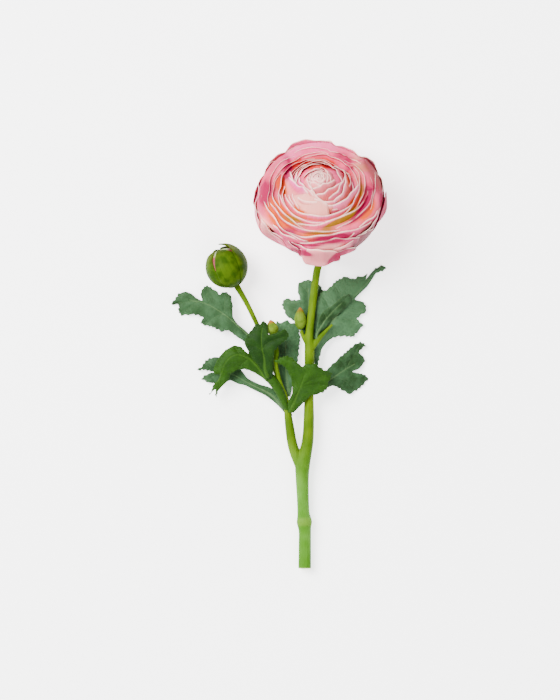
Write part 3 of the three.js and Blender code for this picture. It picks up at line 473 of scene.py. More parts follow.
def bud_petal_material():
    """Deep red of the folded petals in the large bud, pale green at their tips, partly painted
    highlight.
    """
    paint = Paint("bud_petal")
    across, along = paint.stored("across"), paint.stored("along")
    folds = paint.noise(paint.vector(across * 14, along * 2), 1.0, 3.0)
    reds = (colour(0.09, 0.0006, 0.003), colour(0.18, 0.004, 0.010))
    base = paint.blend(*reds, paint.ease(folds, 0.4, 0.7))
    # Pale green at the tips: partly the petals' own colour, partly painted highlight where they show
    # between the sepals
    base = paint.blend(base, colour(0.20, 0.26, 0.07), paint.ease(along, 0.90, 0.97))
    soft = {"Subsurface Weight": 0.1, "Subsurface Scale": 0.002}
    return paint.finish(base, 0.5 + folds * 0.1, folds, 0.0008, soft)


# Bloom

bloom_axis = unit(np.array([-0.03, np.sin(BLOOM_LEAN), np.cos(BLOOM_LEAN)]))
bloom_right = unit(np.array([1.0, 0, 0]) - bloom_axis * bloom_axis[0])
bloom_far = -np.cross(bloom_right, bloom_axis)


# Dents of the outline: angle of the middle and half the width in degrees, depth as a part of the
# radius, and whether it lies low on the wall of the cup or up at the rims
DENTS = [
    (231, 26, 0.135, True), (314, 42, 0.085, True), (60, 20, 0.055, False), (150, 40, 0.04, False),
]


def dented(angle, radius, height):
    """The radius less what the dents of the outline take off."""
    for middle, half, depth, low in DENTS:
        turn = np.abs((np.degrees(angle) - middle + 180) % 360 - 180)
        share = ease(height, 8, -6) if low else ease(height, -6, 4)
        radius = radius * (1 - depth * share * ease(turn, half, 0.7 * half))
    return radius


def bloom_point(angle, radius, height):
    """Place on the bloom: height along its axis, radius and angle round it from its right side.

    Rims stand higher on the side that faces the surface.
    """
    tipped = height + ROSETTE_TIP * radius * np.sin(angle) * ease(height, -30, 0)
    ways = (bloom_axis, bloom_right, bloom_far)
    return around(BLOOM_CENTRE, ways, tipped, dented(angle, radius, height), angle)


def cup_width(deep):
    """Width of the cup as a part of its widest: 1 where deep is 0, less by a curve to its base."""
    return 1 - CUP_TAPER * deep ** 1.5


def petal_side(rim, widest, height, lift, reach, v):
    """Radius and height of a petal from its base at v 0, past its widest place, to its rim at v 1.

    The rim is `lift` above the widest place, with an ellipse between them. Below, the petal runs
    down the taper of the cup by the share `reach` of the way to its base.
    """
    close = np.pi - np.arcsin(np.minimum(rim / widest, 0.999))
    crown = -lift / np.cos(close)
    equator = height - lift
    deep = np.clip(1 - v / WIDEST_PLACE, 0, 1) * reach
    turn = mix(np.pi / 2, close, np.clip((v - WIDEST_PLACE) / (1 - WIDEST_PLACE), 0, None))
    low = v < WIDEST_PLACE
    radius = widest * np.where(low, cup_width(deep), np.sin(turn))
    return radius, np.where(low, mix(equator, CUP_BASE, deep), equator - crown * np.cos(turn))


# What a petal has unless its own row says otherwise. out: how far the rim leans outwards. part: the
# part of its length that is there. sway: one side lies out over the next petal. wave: ripples.
# skew: one side of the rim is higher. corner and peak: the rim falls at its sides and rises in the
# middle. The rest are strengths of tints, the last of them a painted shade.
PETAL_DEFAULTS = {
    "out": 0, "part": 1, "sway": 0.9, "wave": 0.5, "skew": 0, "corner": 0.2, "peak": 0,
    "pale": 0.1, "hot": 0, "warm": 0.3, "lilac": 0, "gold": 0, "mauve": 0,
}

# Tinted places on the bloom as seen from above: leaning ellipses in millimetres, each with x and y
# of its middle, half length, half width, lean of the length in degrees and strength
PLACES = {
    "hot": [
        (-32.4, 13.2, 7.8, 3.6, 80, 1.6), (28.8, 12.6, 7.8, 3.3, 62, 1.6),
        (22.2, 0.6, 8.4, 2.6, 52, 1.2), (12, 36.6, 6.6, 1.8, -27, 1.3),
        (17.4, 30, 5.4, 1.8, -75, 1.1), (-19.2, 27, 6.6, 1.8, 85, 1.6), (7.2, -15, 13.2, 3, 8, 1.2),
        (-17.4, -10.8, 5.4, 1.8, -22, 1), (-12, -22.8, 6.6, 1.4, -16, 2.4),
        (10.2, -25.2, 7.2, 2, 38, 2), (38.4, 7.2, 6.6, 3, 95, 2.4), (-9, -18.6, 9.6, 0.7, -4, 1),
        (-22.2, 36.6, 3, 2.4, 50, 0.7), (-36.6, 9, 13.2, 4.2, 88, 0.4),
        (-20.4, -13.8, 9.6, 3.6, -35, 0.35),
    ],
    "warm": [
        (-1.2, 29.4, 10.8, 2.4, 2, 2), (-15.6, 28.2, 6, 2.4, 48, 1.6), (0.6, 33.6, 12, 1.8, 0, 0.4),
        (-22.8, 16.8, 7.2, 2.4, 100, 1.5), (-25.2, 1.8, 13.2, 4.2, -46, 1.8),
        (20.4, 4.8, 9.6, 3.2, 56, 1.9), (27.6, 2.4, 7.2, 3.6, 58, 1.3),
        (-22.8, -6.6, 10.8, 3.6, -38, 1.1), (-3.6, -13.8, 13.2, 3, 4, 0.9),
        (15.6, 22.8, 4.8, 1.8, 90, 0.9), (-12.6, 1.8, 6, 1.3, -42, 1.1), (22.2, 0, 6.6, 2.4, 52, 1),
    ],
    "gold": [
        (-15, -4.2, 7.2, 1.9, -28, 1.3), (9.6, -5.4, 9.6, 1.7, 26, 1.7),
        (17.4, -0.6, 6, 1.8, 50, 1.5), (23.4, 26.4, 9.6, 1.8, 97, 0.7),
        (0, -11.4, 9.6, 1.3, 2, 0.9), (24.6, 15, 6, 1.2, 80, 0.9),
    ],
    "lilac": [
        (-1.2, 43.2, 22.8, 6, 0, 1), (-18, 36, 7.8, 6, 35, 0.9), (-37.2, 9, 12, 3.6, 88, 0.8),
        (15, 12, 9, 4.2, 38, 1.8), (-13.8, 17.4, 7.2, 3.6, -52, 1.5), (0, -2.4, 9.6, 1.8, 0, 1.3),
        (12, 21, 7.2, 3.6, -60, 0.6),
    ],
    # Painted shade: places on the right and lower side and on parts of the left outline, where the
    # bloom turns from the light
    "mauve": [
        (34.2, 21.6, 10.8, 4.8, -68, 1.4), (30, 31.2, 9, 3, -48, 1.2),
        (27.6, -13.2, 14.4, 5.4, 45, 1.3), (36.6, 2.4, 3.6, 3, 60, 0.7),
        (1.2, -25.8, 13.2, 3.6, 0, 0.5), (-31.2, -10.2, 5.4, 3, -35, 0.4),
        (-28.8, 30.6, 9, 3, 52, 0.5),
    ],
    "pale": [
        (6, -19.8, 9, 2.4, 6, 0.9), (-32.4, -7.2, 6.6, 3.6, -50, 0.7), (22.2, 30.6, 8.4, 2, 100, 0.6),
        (-2.4, 6, 8.4, 6, -20, 0.6), (-14.4, 17.4, 6.6, 3.2, -52, -1),
    ],
}
TINTS = ("pale", "hot", "warm", "lilac", "gold", "mauve")


def tint(label, points):
    """Strength of a tint at points of the bloom: a sum of ellipses with soft borders."""
    total = np.zeros(points.shape[:-1])
    for x, y, half_length, half_width, lean, strength in PLACES[label]:
        across, up = points[..., 0] - x, points[..., 1] - y
        turn = np.radians(lean)
        lengthwise = (across * np.cos(turn) + up * np.sin(turn)) / half_length
        sideways = (up * np.cos(turn) - across * np.sin(turn)) / half_width
        total = total + strength * np.exp(-(lengthwise ** 2 + sideways ** 2) ** 2)
    return total


def petals_piece(name, petals, rows, columns, material):
    """All petals of a list as one object. Each is a grid: u across from -1 to 1, v up to the rim.

    The rim falls off by a power of u towards the corners and waves a little. Ripples are sines
    across the petal that grow by a power of v. A share of u in the radius lays one side over its
    neighbour and the other under it. Petals thin out over the last 1.5 mm to the rim.
    """
    full = [{**PETAL_DEFAULTS, **petal} for petal in petals]
    value = {key: np.array([petal[key] for petal in full], float)[:, None, None] for key in full[0]}
    seed = value["seed"]
    u = np.linspace(-1, 1, columns)[None, None, :]
    share = (1 - (1 - np.linspace(0, 1, rows)) ** 1.5)[None, :, None]
    rim_line = 1 - value["corner"] * np.abs(u) ** 2.6 + value["peak"] * np.exp(-(u / 0.3) ** 2)
    rim_line = rim_line + 0.012 * np.sin(9 * u + 40 * chance(seed + 3)) * (1 - u ** 2)
    v = share * value["part"] * rim_line
    sizes = (value[key] for key in ("rim", "widest", "height", "lift", "reach"))
    radius, height = petal_side(*sizes, v)
    ripple = value["wave"] * np.sin(4.6 * u + 6 * chance(seed)) * share ** 4
    ripple = ripple + 0.3 * value["wave"] * np.sin(13 * u + 40 * chance(seed + 1)) * share ** 9
    radius = radius + value["sway"] * u + ripple + value["out"] * share ** 2
    height = height + value["skew"] * u * share ** 2
    angle = value["middle"] + u * value["half"]
    grid = bloom_point(angle, radius, height)
    grid[..., 2] = np.maximum(grid[..., 2], PRESSED_HEIGHT + 0.25)
    step = np.linalg.norm(np.diff(grid, axis=1), axis=-1)
    below = np.concatenate([np.zeros_like(step[:, :1]), np.cumsum(step, axis=1)], axis=1)
    rim_mm = below[:, -1:] - below
    thickness = PETAL_THICKNESS * (0.35 + 0.65 * ease(rim_mm, 0, 1.5))
    stored = {
        "across": u * value["half"] * value["widest"] / 12, "along": v, "rim_mm": rim_mm,
        "side": np.sin(angle), "seed": chance(seed + 2),
        **{label: value[label] + tint(label, grid) for label in TINTS},
    }
    return sheets_piece(name, grid, thickness, stored, "bloom", "petal", material)


def ball_height(rim):
    """Height of a rim on the round heart."""
    return 5 + 16 * np.sqrt(1 - (rim / HEART_RADIUS) ** 2)


def heart_rings():
    """Closed petals of the round heart, ring by ring from the middle.

    The inner rings hug each other. The first of the outer ones is cut short on the side that faces
    the surface, so that a gap opens there.
    """
    petals = []
    rims = [0.5, 1.6, 2.8, 4.0, 5.2, 6.5, 10.2, 13.0, 15.6, 18.0]
    counts = [2, 3, 3, 3, 4, 4, 4, 4, 4, 5]
    for ring, (rim, count) in enumerate(zip(rims, counts)):
        closed = rim < 8
        for number in range(count):
            seed = 100 + 10 * ring + number
            luck = chance(seed + 0.3)
            wide = rim + mix(2.2, 3.4, rim / 6.5) if closed else mix(16.4, 20.4, (rim - 10.2) / 7.8)
            gap = ring == 6 and np.sin(2 * np.pi * number / count + 1.9 * ring) > 0
            petals.append({
                "rim": rim, "widest": wide, "reach": 0.3, "seed": seed,
                "height": ball_height(rim) + 0.9 * (luck - 0.5) * min(ring, 4) / 4,
                "lift": mix(2.2, 6.5, rim / 6.5) if closed else 10, "part": 0.7 if gap else 1,
                "middle": 2 * np.pi * (number + 0.3 * chance(seed)) / count + 1.9 * ring,
                "half": np.pi / count * 1.35, "sway": 0.25 + 0.05 * rim,
                "skew": 2 * (chance(seed + 8) - 0.5) * min(ring, 5) / 5, "wave": 0.04 + 0.035 * rim,
                "corner": 0.16, "peak": 0.04 * luck, "warm": 0.4 if closed else 0.7,
                "pale": 0.8 - 0.05 * ring + 0.4 * (luck - 0.5),
                "hot": 0.4 * (chance(seed + 7) > 0.65),
            })
    return petals


def cup_rings():
    """Open petals of the cups round the heart, from the gap outwards.

    On the side that faces the surface the outermost ring drops behind the others, so that broad
    faces show there.
    """
    petals = []
    rings = [(20.6, 11.8, 3), (23.9, 12.3, 4), (27.4, 12.2, 4), (30.8, 11.7, 4), (34.4, 10.5, 5)]
    for ring, (rim, height, count) in enumerate(rings):
        outer = ring / (len(rings) - 1)
        for number in range(count):
            seed = 300 + 10 * ring + number
            luck = chance(seed + 0.3)
            middle = 2 * np.pi * (number + 0.35 * chance(seed)) / count + 2.4 * ring
            top = max(np.sin(middle), 0)
            petals.append({
                "rim": rim, "widest": rim + mix(2.8, 1.3, outer), "height": height + 1.8 * (luck - 0.5),
                "lift": mix(8, 12, outer), "reach": mix(0.5, 1, outer), "middle": middle,
                "half": np.pi / count * 1.34, "out": 1.2 * (chance(seed + 5) - 0.5), "seed": seed,
                "skew": 2.2 * (chance(seed + 6) - 0.5), "wave": mix(0.6, 1.0, outer),
                "corner": 0.10 + 0.10 * chance(seed + 9), "peak": 0.06 * (chance(seed + 4) - 0.4),
                "part": 1 - 0.3 * (outer == 1) * ease(top, 0.1, 0.6), "pale": 0.22 * luck,
                "warm": mix(0.7, 0.1, ease(outer, 0.1, 0.6)) * (1 - 0.6 * top),
                "hot": 0.35 * (chance(seed + 7) > 0.6) * (1 - 0.6 * top),
                "lilac": 0.3 * outer,
            })
    return petals


def outer_petal(degrees, half, out, part, seed, **more):
    """A petal outside the cup, cut short at that part of its length."""
    petal = {
        "rim": 37.6, "widest": 39.0, "height": 8.6, "lift": 12, "reach": 1, "seed": seed, "part": part,
        "middle": np.radians(degrees), "half": half, "out": out, "warm": 0.05, "wave": 0.8,
    }
    return {**petal, **more}


def outer_petals():
    """The lobes of the outline and the petals under the front of the cup."""
    return [
        outer_petal(232, 0.5, -0.6, 1.0, 920, widest=38.4, rim=36.9, sway=0.5),
        outer_petal(277, 0.55, -0.4, 1.0, 921, widest=38.4, rim=37, sway=0.5),
        outer_petal(320, 0.5, -0.6, 1.0, 922, widest=38.4, rim=36.8, sway=0.5),
        outer_petal(97, 0.5, 1.4, 1.0, 905, pale=0.2, lilac=0.2),
        outer_petal(66, 0.42, 0.6, 1.0, 911, pale=0.2, lilac=0.6),
        outer_petal(126, 0.42, 0.4, 0.99, 912, pale=0.4, lilac=0.8),
        outer_petal(38, 0.4, 0.9, 0.97, 906, pale=0.3, lilac=0.7),
        outer_petal(152, 0.4, 0.2, 0.98, 913, pale=0.4, lilac=0.8),
        outer_petal(14, 0.38, 0.0, 0.94, 914, pale=0.3, lilac=0.6, sway=0.4),
        outer_petal(-6, 0.3, 0.6, 0.88, 901, pale=0, hot=1.6, widest=40, corner=0.34, wave=0.2,
                    sway=0.1),
        outer_petal(180, 0.42, 0.1, 0.94, 915, pale=0.4, lilac=0.8, sway=0.4),
        outer_petal(206, 0.46, 0.2, 0.86, 907, pale=0.3, wave=0.9, sway=0.4),
        outer_petal(228, 0.4, 0.0, 0.84, 916, pale=0.2, wave=0.9, sway=0.4),
        outer_petal(-28, 0.48, 0.1, 0.88, 917, pale=0.3, lilac=0.3, wave=0.7, sway=0.3),
        outer_petal(-55, 0.42, 0.0, 0.82, 918, pale=0.5, lilac=0.2, wave=0.8, sway=0.4),
        outer_petal(250, 0.3, -0.4, 0.84, 919, pale=0, wave=0.3),
        outer_petal(268, 0.36, 0.8, 1.0, 902, pale=0.75, wave=0.5, height=4.5, widest=39.8,
                    rim=38.2, corner=0.3),
        outer_petal(290, 0.3, 0.4, 0.6, 903, pale=0.1, wave=0.3),
    ]


def front_petals():
    """Petals of the heart, given one by one: the large pale one in front and its neighbours."""
    near = {"reach": 0.35, "corner": 0.14, "wave": 0.3, "warm": 0.35}
    return [
        {**near, "rim": 10.4, "widest": 20.9, "height": 18.4, "lift": 13, "seed": 950, "sway": 0.4,
         "middle": np.radians(240), "half": 0.84, "pale": 1.2, "peak": 0.03},
        {**near, "rim": 19.0, "widest": 21.8, "height": 14.8, "lift": 8, "seed": 951, "sway": 3.0,
         "middle": np.radians(322), "half": 0.68, "pale": 0.3, "lilac": 1.3, "corner": 0.1},
        {**near, "rim": 14.4, "widest": 20.7, "height": 16.8, "lift": 10, "seed": 952, "sway": -2.6,
         "middle": np.radians(188), "half": 0.62, "pale": 0.3, "lilac": 1.1, "skew": -1.6},
        {**near, "rim": 12.0, "widest": 18.6, "height": 19.0, "lift": 10, "seed": 953, "sway": -3.6,
         "middle": np.radians(206), "half": 0.7, "pale": 0.6, "skew": 0.4},
    ]


# Radius and height of the top of the core, from its shoulder over the gap to the heart
CORE_TOP = [
    (38.1, 4.4), (37.5, 6.8), (36.2, 8.6), (34.2, 9.4), (29, 9.8), (25, 9.6), (20.6, 9), (19, 9.4),
    (17, 11.8), (14, 14.6), (11, 16.8), (8, 17.8), (4, 19.4), (0.01, 20),
]


def bloom_core(material):
    """A closed body that fills the bloom under its petals: rings round the axis, from base to top.

    Its shoulder shows as one broad smooth petal inside the outer ones. Down in the groove between
    them it is painted pale and loses its magenta, painted light that lifts the shade there, and in
    front it keeps back from the petals that hang over it.
    """
    deep = np.array([1, 0.9, 0.75, 0.6, 0.45, 0.3, 0.15])
    wall = np.column_stack([(BLOOM_RADIUS + 0.4) * cup_width(deep), CUP_BASE * deep + 1])
    rings = np.vstack([[(0.01, CUP_BASE), (8, CUP_BASE + 0.2)], wall, CORE_TOP])
    radius, height = rings[:, :1], rings[:, 1:]
    angle = circle(64)
    narrow = 1.4 * ease(radius, 31, 35) * ease(-np.sin(angle), 0.5, 0.85)
    grid = bloom_point(angle, radius - narrow, height)
    grid[..., 2] = np.maximum(grid[..., 2], PRESSED_HEIGHT)
    zeros = np.zeros(narrow.shape)
    groove = ease(height, 7, 4.5)
    stored = {
        "across": angle + zeros, "side": np.sin(angle) + zeros, "along": zeros, "rim_mm": zeros + 9,
        "seed": zeros, **{label: tint(label, grid) for label in TINTS},
    }
    stored["warm"] += 0.2
    # Painted light: paler and without magenta down in the groove, to lift the shade that falls there
    stored["pale"] += 0.15 + 0.7 * groove
    stored["hot"] *= 1 - groove
    return add_piece("bloom_core", *stack(grid), "bloom", "petal", material, stored)


# Leaves

def inside(places, outline):
    """Whether each place lies in the outline: a line to its right crosses it an odd number of times."""
    x, y = places[:, 0, None], places[:, 1, None]
    x1, y1 = outline[:, 0][None], outline[:, 1][None]
    x2, y2 = np.roll(outline[:, 0], -1)[None], np.roll(outline[:, 1], -1)[None]
    spans = (y1 > y) != (y2 > y)
    crossing = x1 + (y - y1) * (x2 - x1) / np.where(y2 == y1, 1e-9, y2 - y1)
    return (spans & (x < crossing)).sum(axis=1) % 2 == 1


def nearest(places, line):
    """Distance seen from above from each place to the nearest point of the line, and its index."""
    away = np.linalg.norm(places[:, None, :2] - line[None, :, :2], axis=-1)
    return away.min(axis=1), away.argmin(axis=1)


def side_veins(rib, border):
    """Curved veins from the midrib to the tips of the lobes, the places farthest from it."""
    away, foot = nearest(border, rib)
    padded = np.pad(away, VEIN_WINDOW, mode="edge")
    window = np.lib.stride_tricks.sliding_window_view(padded, 2 * VEIN_WINDOW + 1)
    tips = np.flatnonzero((away >= window.max(axis=1)) & (away > LOBE_LENGTH))
    veins = []
    for tip in tips:
        start = max(foot[tip] - int(0.7 * away[tip] / RIB_STEP), 0)
        bend = min(start + int(0.45 * away[tip] / RIB_STEP), len(rib) - 1)
        t = np.linspace(0, 1, 60)[:, None]
        veins.append((1 - t) ** 2 * rib[start] + 2 * t * (1 - t) * rib[bend] + t ** 2 * border[tip])
    return veins


def toothed(edge, rib):
    """The border, halfway between straight and smooth, with small teeth that point to the tip.

    A tooth is a slanted wave over its own stretch of the border. It grows with the distance from
    the midrib.
    """
    corners = np.asarray(edge, float)
    share = (np.arange(12) / 12)[None, :, None]
    straight = mix(corners[:-1, None], corners[1:, None], share).reshape(-1, 3)
    curve = mix(np.vstack([straight, corners[-1]]), smooth_line(edge, 12), 0.5)
    length = np.linalg.norm(np.diff(curve, axis=0), axis=1).sum()
    border = along_line(curve, np.linspace(0, 1, int(length / LEAF_STEP)))
    ahead = unit(np.gradient(border[:, :2], axis=0))
    place = np.arange(len(border)) * LEAF_STEP
    phase = place / TOOTH_MM + 0.4 * np.sin(place / 6) + 0.3 * np.sin(place / 2.3)
    wave = phase - np.floor(phase)
    size = TOOTH_DEPTH * ease(nearest(border, rib)[0], 3, 9)
    reach = size * (np.minimum(wave / 0.7, (1 - wave) / 0.3) - 0.4)
    border[:, :2] += reach[:, None] * np.stack([-ahead[:, 1], ahead[:, 0]], axis=1)
    return border


def filled(border):
    """Places and triangles that fill a border seen from above, the places of the border first."""
    low, high = border.min(axis=0), border.max(axis=0)
    columns, rows = np.arange(low[0], high[0], LEAF_STEP), np.arange(low[1], high[1], LEAF_STEP * 0.866)
    x, y = np.meshgrid(columns, rows)
    x = x + LEAF_STEP / 2 * (np.arange(len(x)) % 2)[:, None]
    filling = np.stack([x.ravel(), y.ravel()], axis=1)
    filling = filling[inside(filling, border)]
    filling = filling[nearest(filling, border)[0] > 0.6 * LEAF_STEP]
    plan = [Vector(place) for place in np.concatenate([border[:, :2], filling]).tolist()]
    made = delaunay_2d_cdt(plan, [], [list(range(len(border)))], 1, 1e-6)
    return np.array([tuple(place) for place in made[0]]), np.array(made[2])


def spread_heights(places, known):
    """Height at each place: the mean of known heights, weighted by one over distance cubed."""
    heights = np.zeros(len(places))
    for part in np.array_split(np.arange(len(places)), 8):
        away = np.linalg.norm(places[part, None] - known[None, :, :2], axis=-1)
        weight = 1 / (away ** 2 + 0.02) ** 1.5
        heights[part] = (weight * known[:, 2]).sum(axis=1) / weight.sum(axis=1)
    return heights


def thick_faces(triangles, count):
    """The triangles, the same turned over for the underside, and a wall on every open edge.

    An open edge is one that only one triangle uses.
    """
    edges = np.concatenate([triangles[:, [0, 1]], triangles[:, [1, 2]], triangles[:, [2, 0]]])
    _, first, uses = np.unique(np.sort(edges, axis=1), axis=0, return_index=True, return_counts=True)
    a, b = edges[first[uses == 1]].T
    wall = np.concatenate([np.stack([b, a, a + count], 1), np.stack([b, a + count, b + count], 1)])
    return np.concatenate([triangles, triangles[:, ::-1] + count, wall])


def leaf_blade(midrib, edge):
    """Points, triangles and numbers of one blade.

    It takes its height from its border and midrib, rises between its veins and ripples at its
    edge. It is thin at the edge, thicker on the veins, and round like a stalk where the midrib
    starts.
    """
    rib = smooth_line(midrib, 40)
    length = np.linalg.norm(np.diff(rib, axis=0), axis=1).sum()
    rib = along_line(rib, np.arange(0, 1, RIB_STEP / length))
    border = toothed(edge, rib)
    places, triangles = filled(border)
    heights = spread_heights(places, np.concatenate([border, rib[::2]]))
    to_edge, at_edge = nearest(places, border)
    to_rib, at_rib = nearest(places, rib)
    to_veins = [nearest(places, line)[0] for line in side_veins(rib, border)]
    to_side = np.min(to_veins + [np.full(len(places), 99.0)], axis=0)
    vein = np.maximum(np.exp(-(to_rib / 0.5) ** 2), 0.8 * np.exp(-(to_side / 0.32) ** 2))
    rise = LEAF_RISE * ease(np.minimum(to_rib, to_side), 0, 3.5) * ease(to_edge, -1, 3)
    ripple = LEAF_RIPPLE * np.sin(at_edge * LEAF_STEP / 1.6) * ease(to_edge, 3.5, 0)
    heights = np.maximum(heights + rise + ripple, LEAF_THICKNESS / 2 + 0.15)
    half = mix(LEAF_EDGE_THICKNESS / 2, LEAF_THICKNESS / 2, ease(to_edge, 0, 1))
    half = half + VEIN_SWELL * vein * ease(to_edge, 0, 2)
    rib_radius = STALK_END_RADIUS * (1 - at_rib / len(rib)) ** 1.6
    half = np.maximum(half, np.sqrt(np.maximum(rib_radius ** 2 - to_rib ** 2, 0)))
    vein = np.maximum(vein, ease(to_rib, 1.3 * rib_radius + 0.1, 0.6 * rib_radius))
    top, bottom = (np.column_stack([places, heights + side * half]) for side in (1, -1))
    faces = thick_faces(triangles, len(places))
    return np.concatenate([top, bottom]), faces, np.tile(vein, 2), np.tile(to_edge, 2)


def leaf_piece(name, blades, tone, slot, material):
    """A leaf of one or two blades. A second one is folded over and darker."""
    made = [leaf_blade(midrib, edge) for midrib, edge in blades]
    points, faces = joined([blade[:2] for blade in made])
    tones = [np.full(len(blade[0]), tone - FOLD_DARKER * place) for place, blade in enumerate(made)]
    vein, edge = (np.concatenate([blade[place] for blade in made]) for place in (2, 3))
    stored = {"vein": vein, "edge_mm": edge, "tone": np.concatenate(tones)}
    return add_piece(name, points, faces, name, slot, material, stored)


